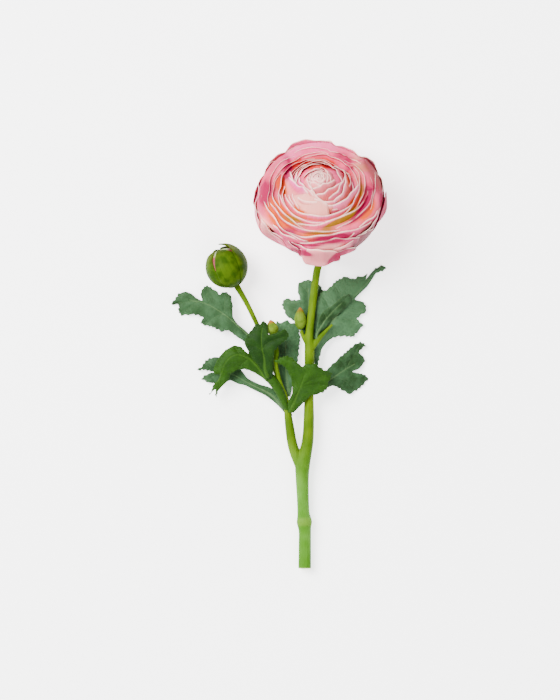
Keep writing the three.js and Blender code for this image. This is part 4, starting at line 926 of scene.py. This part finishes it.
# Blades of each leaf in [x, y, z] rows: the midrib from stalk to tip, then the border round it
LEAVES = {
    "leaf_left": [([
        [-33.6, -92, 10.9], [-37.5, -83, 10], [-43, -72.7, 9.4], [-50, -66, 9], [-57, -60, 8],
        [-69, -53, 5.4], [-79, -50.5, 2.4],
    ], [
        [-34.7, -92.4, 10.8], [-39.3, -83, 9.8], [-45.6, -76, 8.4], [-50, -73, 8],
        [-55.6, -69, 6.6], [-58.7, -70, 5.6], [-62, -68.4, 5], [-64.4, -67.2, 4.6],
        [-72.2, -65, 2.4], [-70.2, -61.8, 4], [-73, -60, 3.6], [-78.4, -59.4, 2],
        [-83.8, -60, 0.5], [-85.5, -57, 0.8], [-85.2, -53.6, 1.2], [-90, -53.2, 2.2],
        [-88, -51, 1.6], [-85.2, -46.8, 1.2], [-81, -45.8, 1.6], [-77.4, -47, 2.6],
        [-74.8, -49.4, 3.6], [-71, -51.2, 4.8], [-72, -47.2, 4.4], [-70.6, -43.8, 4],
        [-68.3, -42, 3.8], [-63.7, -44.7, 5], [-60.3, -47.4, 6], [-57.7, -45.8, 5.6],
        [-54.6, -47.3, 5.8], [-52.8, -51.4, 6.8], [-52.6, -57.2, 8], [-52.3, -61.4, 8.4],
        [-49.8, -65, 8.6], [-43.2, -70.8, 9], [-36.4, -82, 10], [-32.6, -92, 10.9],
    ])],
    "leaf_left_top": [([
        [-31.4, -97, 13.6], [-33, -93, 14.2], [-33.6, -86, 15.4], [-35, -79, 16.4],
        [-35.2, -72, 16.6], [-34.6, -67.5, 16],
    ], [
        [-32.6, -98.4, 12.9], [-35.2, -93.4, 13.8], [-37.9, -89.4, 15], [-41, -85.6, 15.8],
        [-43.6, -81.4, 15.8], [-45.2, -76.2, 15], [-44, -72.7, 14.8], [-41.4, -69.2, 15],
        [-38.1, -65.2, 15], [-36, -65.6, 15.4], [-34.2, -63.4, 15], [-31.8, -65.2, 15.8],
        [-31, -71.6, 17.6], [-28.8, -71.6, 18.2], [-24, -69.8, 18.6], [-21.7, -69, 18.2],
        [-18.8, -70.8, 17.4], [-19.6, -74, 17.6], [-23.1, -76.8, 17.6], [-27, -81, 16.4],
        [-28, -86, 15.2], [-28.2, -91, 14.2], [-28.2, -95.5, 13.5], [-29.4, -98.8, 13.1],
    ])],
    "leaf_left_arch": [([
        [-32.2, -98.6, 11.4], [-35.2, -94, 12.4], [-38.4, -90.2, 13.2], [-43.4, -85.8, 14.2],
        [-51, -84, 15.2], [-56.5, -88, 14.6], [-59, -94, 13], [-61, -100, 11],
    ], [
        [-31.6, -100.6, 10.9], [-34.6, -97.8, 11.6], [-38.6, -95.2, 12.2], [-43.2, -93, 12.8],
        [-47.4, -92.4, 13], [-53.5, -95, 12.2], [-55.2, -99.4, 11.2], [-58.2, -102.2, 10.4],
        [-61.6, -106.1, 9.4], [-62.4, -109.7, 8.6], [-63, -107.4, 9], [-62.6, -104.6, 9.8],
        [-66.9, -107.8, 8.2], [-65.2, -105.6, 8.6], [-64.6, -102.6, 9], [-61.2, -98.8, 10.4],
        [-60, -96, 11.2], [-63.8, -95.4, 10], [-63.8, -91.5, 10.6], [-60.8, -85.4, 12.2],
        [-56.6, -80.8, 13.4], [-51.2, -78.3, 14], [-47.4, -79.1, 14], [-44.8, -81.8, 13.8],
        [-42, -84, 13.4], [-38.3, -88.2, 12.6], [-34.6, -92.8, 12], [-32, -96.8, 11.6],
    ])],
    "leaf_left_low": [([
        [-22.6, -116.2, 7.2], [-26.6, -110.4, 6.8], [-32, -106.4, 6.4], [-39, -103, 6.2],
        [-45.6, -99.6, 6], [-54, -95, 5.2], [-59.5, -94, 4.8],
    ], [
        [-21.2, -119, 7], [-24.2, -115.6, 6.8], [-27.8, -112.2, 6.4], [-32.9, -108.4, 6.1],
        [-39.6, -105.2, 5.8], [-45.6, -102.2, 5.4], [-48.9, -101.6, 5], [-54, -99.4, 4.8],
        [-60, -101.2, 4], [-64.6, -101.3, 3], [-71.5, -98.4, 1.6], [-68.4, -95.7, 2.4],
        [-63.5, -94.4, 3.8], [-70.3, -92.9, 3], [-74.4, -93.4, 2.2], [-71.1, -90.8, 3],
        [-68.8, -87.3, 3.6], [-64.6, -85.4, 4.4], [-61.6, -85.8, 5], [-54, -89, 5.6],
        [-47.4, -93, 5.8], [-43.6, -98, 6], [-36.6, -101.6, 6.2], [-30.4, -103.4, 6.2],
        [-25.6, -106, 6], [-21.6, -112, 6.4], [-20.4, -116.4, 7],
    ])],
    "leaf_middle_back": [([
        [-18.7, -108.6, 6.3], [-19.4, -102, 5.2], [-20.4, -94, 4.2], [-20.6, -84, 3.5],
        [-20.6, -74, 2.9], [-20.5, -68, 2.2],
    ], [
        [-19.6, -109.2, 6.2], [-21.2, -105, 4.6], [-23.4, -100.5, 3.9], [-25.4, -95.5, 3.5],
        [-27, -90, 3.4], [-28.2, -80, 3], [-28, -72, 2.6], [-25.8, -63.6, 1.6],
        [-24, -64.7, 1.8], [-19.2, -62.8, 1.4], [-18, -64.8, 1.7], [-15.6, -64.7, 1.5],
        [-12.9, -68.2, 1.8], [-11.8, -73.8, 2.4], [-12.4, -79.2, 3], [-13.2, -87, 3.8],
        [-14.6, -93, 4.2], [-16.4, -99.6, 4.8], [-16.9, -105.4, 5.6], [-17.7, -109.2, 6.4],
    ])],
    "leaf_middle_front": [([
        [-17.6, -117.8, 11.2], [-14, -109, 13], [-10.5, -100, 15.4], [-8.6, -95, 16.4],
    ], [
        [-19.4, -118.6, 11], [-18.9, -111.8, 12], [-16.6, -107, 12.8], [-17, -99.8, 13.6],
        [-18.8, -94.2, 14.4], [-22, -90.3, 15], [-27.2, -87.9, 15.4], [-23.4, -85.6, 15.6],
        [-19.8, -84.6, 15.8], [-15.3, -86.7, 16], [-13.3, -89.1, 16.2], [-10.3, -91.1, 16.2],
        [-9, -89.7, 16.4], [-3.4, -89.4, 16.6], [-0.2, -91.1, 16.4], [3, -93.5, 15.6],
        [6, -94.2, 14.8], [7.2, -95.4, 14.2], [5, -100.8, 14.4], [4.6, -103.8, 13.8],
        [2.2, -106.2, 13.6], [-1, -107.4, 13.6], [-4.2, -107.8, 13.6], [-7.3, -110.2, 13.4],
        [-12.1, -115, 12.4], [-15.8, -118.8, 11.2],
    ])],
    "leaf_right_low": [([
        [-2.6, -105.2, 8.8], [3, -101, 8.2], [9, -97, 7], [15, -93, 5.4], [21, -89.5, 3.6],
    ], [
        [-3.3, -103.8, 9], [0, -98, 8.4], [3.8, -93.5, 8], [8.4, -88.8, 7], [14.4, -83.4, 5.4],
        [21, -77.8, 3.4], [24.9, -76.2, 2.6], [27.9, -78.2, 2], [25.2, -80.2, 2.8],
        [24, -82.6, 3.2], [27.5, -87, 1.6], [24, -92.3, 2.6], [19.6, -94.1, 3.6],
        [26.4, -95.7, 1.4], [29.4, -98, 0.5], [24, -104.2, 1.2], [21.4, -105.8, 1.6],
        [18.4, -107.4, 2], [14.4, -105.8, 3.6], [10.6, -103.4, 5], [7.8, -102.6, 6],
        [5, -103.6, 6.8], [0, -106, 8], [-3.3, -107, 8.7],
    ])],
    "leaf_right_high": [([
        [-2.4, -77.4, 9.6], [3, -70, 8.6], [9, -62, 7.4], [16, -53.5, 5.6], [24, -45, 3.6],
        [31, -38, 2],
    ], [
        [-5.6, -76, 7.4], [-5, -68, 7], [-4, -60, 6.4], [-2.4, -53, 5.6],
        [0.6, -46.8, 4.6], [5.8, -43.5, 4.2], [10.2, -39, 3.2], [16.6, -36.4, 2.2],
        [18.6, -38, 2.4], [21.4, -37.8, 2.2], [23.3, -36.4, 1.8], [26, -36.6, 1.8],
        [29, -34.6, 1.2], [28, -38, 2], [31, -34.4, 1.3], [33.8, -31.6, 0.8],
        [38.4, -29.8, 0.5], [40, -31.2, 0.5], [38.9, -32.8, 0.5], [34.2, -34.6, 1],
        [32.2, -37.6, 1.4], [28.8, -42.6, 2.2], [23.7, -47.6, 3], [21.2, -50.4, 3.4],
        [26.4, -52, 2.4], [28.1, -55, 2], [28.1, -57.3, 1.8], [22.6, -62.1, 3],
        [26.2, -66.2, 1.8], [21.9, -71.1, 1.8], [20.4, -72.9, 1.8], [13.2, -72.5, 3.4],
        [7.7, -73.8, 4.6], [3.6, -77, 5.8], [1.2, -80.7, 6.2], [-1.6, -90.5, 5.4],
        [-4.4, -87, 5.8], [-5, -80, 6.4],
    ]), ([
        [-2.2, -75.3, 10.2], [-1.3, -71.2, 10.6], [2, -64.8, 10.8], [7.2, -58.4, 10.1],
        [13, -52.8, 8.6],
    ], [
        [-2.8, -75, 10], [-2, -69, 11.2], [-0.2, -61.4, 11.6], [2.2, -57.6, 11.2],
        [8.4, -53.6, 10.2], [13.6, -49, 8.6], [18.2, -47.4, 6.8], [18.4, -51.8, 6.8],
        [12.6, -58.2, 8.4], [8.4, -61, 9.2], [4, -67, 9.8], [-0.6, -71.8, 10],
        [-1.6, -75.6, 10],
    ])],
    "leaf_stalk_back": [([
        [-6, -78, 6.2], [-6.4, -70, 5.3], [-6.8, -60, 3.8], [-7, -50, 2.2], [-7, -43.5, 1.2],
    ], [
        [-7.6, -78.6, 6.2], [-10.5, -72, 5.4], [-13.2, -67, 4.6], [-15.8, -62.8, 4],
        [-19, -61.7, 3.4], [-21.3, -57.3, 2.8], [-22.8, -53.4, 2.2], [-20.6, -49.8, 2],
        [-16.2, -50.9, 2.6], [-12, -50.4, 2.8], [-13.4, -45, 1.6], [-12.6, -40.6, 0.9],
        [-7, -38.4, 0.6], [-4.8, -39.2, 0.8], [-0.6, -40.8, 1], [2.2, -45.8, 1.4],
        [2.2, -49.5, 2], [-0.4, -57, 3.2], [-2.2, -64, 4.4], [-3.2, -72, 5.4],
        [-4.2, -78.6, 6.2],
    ])],
}
DARK_LEAVES = ("leaf_left_top", "leaf_left_arch", "leaf_middle_front")

# How light each leaf is, from 0 to 1
TONES = {
    "leaf_left": 0.4, "leaf_left_top": 0.1, "leaf_left_arch": 0.75, "leaf_left_low": 0.35,
    "leaf_middle_back": 0.85, "leaf_middle_front": 0.75, "leaf_right_low": 0.25,
    "leaf_right_high": 1.0, "leaf_stalk_back": 0.8,
}


# Stalks, in [x, y, z, radius] rows: the main one, the left branch, and those that leave them

STALKS = [
    [
        [-9.1, -213, 3.9, 3.9], [-9, -200, 4.1, 3.8], [-9, -190, 4.5, 3.8], [-9.2, -187.4, 4.7, 4.2],
        [-9.3, -185, 4.8, 4.7], [-9.5, -182.6, 4.8, 4.3], [-9.8, -180, 4.9, 3.8],
        [-10.2, -170, 5.2, 3.7], [-10.6, -157, 5.8, 4.1], [-10.3, -150, 6.2, 4.5],
        [-8.4, -142, 6.6, 3.8], [-7.2, -135, 7, 3.5], [-6.6, -122, 7.9, 3.2],
        [-6.5, -110, 8.6, 2.85], [-6.4, -100, 9.2, 2.75], [-6.2, -79, 10, 3],
        [-6.3, -73, 10, 2.5], [-5.4, -62, 9.4, 2.35], [-3.4, -46, 7, 2.3],
        [-1.6, -33, 4, 2.3], [0, -27, 3.2, 2.3], [0.82, -21.9, 4.9, 2.3], [0.76, -19.8, 6.7, 2.3],
    ],
    [
        [-12.2, -150, 6.2, 3.2], [-15.2, -142.5, 6.6, 3.1], [-16.8, -136.5, 7, 3],
        [-18.2, -127.5, 7.6, 2.75], [-19.2, -120, 8, 2.3], [-19.8, -114, 8.2, 2.1],
    ],
    [
        [-19.2, -117, 8, 1.7], [-20.6, -112, 7.8, 1.5], [-23, -104, 6.6, 1.45],
        [-25.6, -97, 5.8, 1.45], [-31.2, -81, 5.4, 1.45], [-38.2, -64.8, 6.2, 1.45],
        [-45, -51, 7.6, 1.6], [-50.1, -42.3, 7.6, 1.9], [-51.6, -39.2, 8.6, 2.1],
    ],
    [
        [-19.6, -115, 8.4, 1.6], [-20.2, -110, 8.8, 1.35], [-24, -100.2, 10, 1.3],
        [-26.6, -89, 11.2, 1.35], [-26.2, -83, 11.7, 1.75], [-27, -76, 12, 1.3],
        [-27.4, -72.8, 12.2, 1.2],
    ],
    [[-6.8, -78.5, 10, 1.6], [-9.4, -74.2, 10, 1.25], [-11.5, -69.2, 9.8, 1.2]],
    [
        [-6.2, -82, 9.8, 1.8], [-3.6, -78, 10.2, 1.9], [-0.4, -74, 10.6, 1.6], [3.4, -69.8, 10.9, 1.1],
        [7.6, -65.6, 10.6, 0.7],
    ],
]


LEAF_STALK = [
    [-17.6, -121, 7.8, 1.2], [-19.6, -116.4, 8.6, 1.9], [-21.4, -112.6, 9, 2.25],
    [-23.4, -107.5, 9.6, 2.7], [-26.7, -101.6, 9.9, 3.1], [-30, -97.6, 10.2, 2.9],
    [-32.6, -94, 11, 2.2], [-34.4, -91, 11.6, 1.2],
]


def leaf_stalk(material):
    """The dark stalk of the two upper left leaves."""
    points, faces = tube(LEAF_STALK)
    numbers = {"vein": 0.25, "edge_mm": 9.0, "tone": 0.9}
    stored = {label: np.full(len(points), number) for label, number in numbers.items()}
    return add_piece("leaf_stalk", points, faces, "stem", "stem", material, stored)


def stalks(material):
    """All stalks as one smooth body: round tubes melted together where they branch."""
    points, faces = joined([tube(stations) for stations in STALKS])
    piece = add_piece("stalks", points, faces, "stem", "stem", material)
    melt = piece.modifiers.new("melt", "REMESH")
    melt.mode = "VOXEL"
    melt.voxel_size = MELT_STEP * MM
    relax = piece.modifiers.new("relax", "SMOOTH")
    relax.iterations = RELAX_ROUNDS
    seen = piece.evaluated_get(bpy.context.evaluated_depsgraph_get())
    smooth = bpy.data.meshes.new_from_object(seen)
    piece.modifiers.clear()
    piece.data = smooth
    smooth.shade_smooth()
    return piece


# Buds

def bud_point(outside, angle, turn):
    """Place on the large bud: distance outside its ball, angle round its axis, turn from its tip."""
    radius = BUD_RADIUS + outside
    return around(BUD_CENTRE, axes(BUD_AXIS), radius * np.cos(turn), radius * np.sin(turn), angle)


# Sepals of the large bud: angle of the middle in degrees, turn of the tip from the bud's own tip,
# how much it narrows there and how far the tip stands off. The first lies in front.
BUD_SEPALS = [
    (104, -0.12, 0.25, 0.0), (168, 0.10, 0.50, 3.0), (238, 0.25, 0.45, 0.0), (305, 0.2, 0.45, 0.0),
    (8, 0.16, 0.50, 0.0),
]


def large_bud_sepals(material):
    """Thick sepals round the bud: grids with u across from -1 to 1 and v from base to tip.

    Each lies over its neighbour on one side and under it on the other.
    """
    rows, columns = 44, 30
    middle, tip, narrow, lift = (np.array(column)[:, None, None] for column in zip(*BUD_SEPALS))
    number = np.arange(len(BUD_SEPALS))[:, None, None]
    u = np.linspace(-1, 1, columns)[None, None, :]
    v = np.linspace(0, 1, rows)[None, :, None]
    turn = mix(np.pi * 0.97, tip, v) + 0.35 * v * u ** 2
    width = 0.86 * (1 - narrow * v ** 4)
    puckers = 0.14 * np.sin(11 * u + number) * v * (1 - v)
    puckers = puckers + 0.25 * (lift > 0) * np.sin(5 * u) * v ** 2
    outside = lift * v ** 3 - SEPAL_OVERLAP * u + puckers
    grid = bud_point(outside, np.radians(middle) + u * width, turn)
    to_border = np.minimum((1 - np.abs(u)) * 8, (1 - v) * 14)
    thickness = mix(0.3, SEPAL_THICKNESS, ease(to_border, 0, 1.5))
    stored = {"across": u + number * 3.1, "along": v}
    return sheets_piece("large_bud_green", grid, thickness, stored, "large_bud_sepals", "bud", material)


def turned(base, tip, radius_at, sides, rings):
    """Points, quads and numbers of a body round an axis, with its radius by place and angle."""
    way = np.subtract(tip, base)
    place = np.linspace(0, 1, rings)[:, None]
    angle = circle(sides)
    radius = radius_at(place, angle)
    points = around(base, axes(way), np.linalg.norm(way) * place, radius, angle)
    stored = {"across": angle + 0 * radius, "along": place + 0 * radius}
    return *stack(points), stored


def large_bud_petals(material):
    """The folded petals inside the large bud: a ball with five spiral folds."""
    bottom, top = BUD_RADIUS - 1.9, BUD_RADIUS - 0.7

    def ball(place, angle):
        """The half width of a ball at each height, with its folds."""
        height = mix(-bottom, top, place)
        folds = 1 + 0.02 * np.cos(5 * angle + 4 * place)
        return np.sqrt(np.maximum(top ** 2 - height ** 2, 0.01)) * folds

    way = unit(BUD_AXIS)
    base, tip = BUD_CENTRE - way * bottom, BUD_CENTRE + way * top
    points, faces, stored = turned(base, tip, ball, 60, 40)
    return add_piece("large_bud_red", points, faces, "large_bud_petals", "bud_petal", material, stored)


def small_bud(name, base, tip, material):
    """A drop-shaped bud with five sepals pressed together."""

    def drop(place, angle):
        """Half a sine wave from base to tip, a little wider along each of five sepals."""
        bulge = np.sin(np.pi * place ** 0.8) ** 0.75
        seams = 1 + 0.06 * np.abs(np.cos(2.5 * angle)) ** 0.7
        return 0.15 + SMALL_BUD_RADIUS * bulge * seams

    points, faces, stored = turned(base, tip, drop, 50, 40)
    return add_piece(name + "_green", points, faces, name, "bud", material, stored)


def calyx(material):
    """Five sepals and the disc that holds them, close under the petals.

    The sepals are grids that run outwards and narrow, and the disc is a stack of rings.
    """
    count, thickness = 5, 0.6
    top = CUP_BASE - 0.3
    number = np.arange(count)[:, None, None]
    u = np.linspace(-1, 1, 16)[None, None, :]
    v = np.linspace(0, 1, 24)[None, :, None]
    width = 0.5 * (1 - 0.75 * v ** 2)
    turn = 2 * np.pi * (number + 0.25) / count + u * width
    grid = bloom_point(turn, 5 + 6.5 * v, top - 1.1 - 0.4 * v)
    shape = grid.shape[:3]
    radii = np.array([0.01, 3.4, 6, 7.6, 8.6, 8.4, 8, 0.01])[:, None]
    heights = np.array([-3, -3, -2.4, -1.6, -0.9, -0.3, 0, 0])[:, None] + top
    disc = stack(bloom_point(circle(48), radii, heights))
    points, faces = joined([shell(grid, np.full(shape, thickness)), disc])
    points[:, 2] = np.maximum(points[:, 2], PRESSED_HEIGHT)
    on_sepals = {"across": u + number * 3.0, "along": v * 0.7}
    on_disc = np.zeros(len(disc[0]))
    stored = {
        label: np.concatenate([on_both_faces(numbers, shape), on_disc])
        for label, numbers in on_sepals.items()
    }
    return add_piece("calyx_green", points, faces, "calyx", "bud", material, stored)


# The object

petal_paint = petal_material()
bloom_core(petal_paint)
petals_piece("bloom_heart", heart_rings() + front_petals(), 20, 23, petal_paint)
petals_piece("bloom_cup", cup_rings(), 20, 23, petal_paint)
petals_piece("bloom_outside", outer_petals(), 24, 25, petal_paint)

leaf_green = leaf_material(
    "leaf", shade=colour(0.0085, 0.029, 0.0055), light=colour(0.042, 0.103, 0.043),
    vein_colour=colour(0.075, 0.14, 0.05), gloss=0.55,
)
dark_green = leaf_material(
    "dark_leaf", shade=colour(0.004, 0.022, 0.0006), light=colour(0.014, 0.050, 0.001),
    vein_colour=colour(0.035, 0.09, 0.006), gloss=0.5,
)
for leaf_name, blades in LEAVES.items():
    is_dark = leaf_name in DARK_LEAVES
    slot_name, paint_used = ("dark_leaf", dark_green) if is_dark else ("leaf", leaf_green)
    leaf_piece(leaf_name, blades, TONES[leaf_name], slot_name, paint_used)

stalks(stem_material())
leaf_stalk(dark_green)
bud_green = bud_material(
    "bud", shade=colour(0.015, 0.040, 0.0003), light=colour(0.038, 0.076, 0.0010),
    tip_colour=colour(0.05, 0.05, 0.0005), tip_share=0.4,
)
large_bud_sepals(bud_green)
large_bud_petals(bud_petal_material())
small_bud_green = bud_material(
    "small_bud", shade=colour(0.05, 0.10, 0.004), light=colour(0.10, 0.16, 0.012),
    tip_colour=colour(0.34, 0.06, 0.02), tip_share=0.8,
)
small_bud("small_bud_left", [-27.5, -72.4, 12.3], [-29.8, -62.8, 12.6], small_bud_green)
small_bud("small_bud_right", [-11.6, -68.7, 9.8], [-11.8, -55.3, 9], small_bud_green)
calyx(bud_green)


# Floor, light and camera

def floor():
    """A plain pale floor, three metres each way from the flower."""
    mesh = bpy.data.meshes.new("floor")
    reach = 3.0
    corners = [(-reach, -reach, 0), (reach, -reach, 0), (reach, reach, 0), (-reach, reach, 0)]
    mesh.from_pydata(corners, [], [(0, 1, 2, 3)])
    paint = Paint("floor")
    paint.shader.inputs["Base Color"].default_value = colour(0.93, 0.93, 0.93)
    paint.shader.inputs["Roughness"].default_value = 0.9
    paint.shader.inputs["Emission Color"].default_value = colour(1, 1, 1)
    paint.shader.inputs["Emission Strength"].default_value = 2.0
    mesh.materials.append(paint.material)
    add_object("floor", mesh)


def soft_light(name, place, size, power):
    """A square lamp that faces the middle of the flower. Lengths in metres, power in watts."""
    lamp = bpy.data.lights.new(name, "AREA")
    lamp.size = size
    lamp.energy = power
    holder = add_object(name, lamp)
    holder.location = place
    middle = np.array([-0.02, -0.06, 0.02])
    toward = middle - np.array(place)
    holder.rotation_mode = "QUATERNION"
    holder.rotation_quaternion = Vector(toward).to_track_quat("-Z", "Y")


def camera():
    """Straight above the middle of the photo's frame, with photo-up along +Y."""
    lens = bpy.data.cameras.new("camera")
    lens.sensor_width = 36
    lens.lens = lens.sensor_width * (CAMERA_HEIGHT - SCALE_HEIGHT) / (IMAGE_HEIGHT * PIXEL_MM)
    eye = add_object("camera", lens)
    x = (MIDDLE_PIXEL[0] - ORIGIN_PIXEL[0]) * PIXEL_MM
    y = (ORIGIN_PIXEL[1] - MIDDLE_PIXEL[1]) * PIXEL_MM
    eye.location = (x * MM, y * MM, CAMERA_HEIGHT * MM)
    lens.clip_end = 20
    bpy.context.scene.camera = eye


floor()
soft_light("key", place=(-1.1, 0.6, 1.6), size=1.3, power=165)
soft_light("fill", place=(0.8, -1.3, 1.5), size=1.8, power=48)
sky = bpy.data.worlds.new("sky")
sky.use_nodes = True
sky.node_tree.nodes["Background"].inputs["Color"].default_value = (1, 1, 1, 1)
sky.node_tree.nodes["Background"].inputs["Strength"].default_value = 0.7
bpy.context.scene.world = sky
camera()
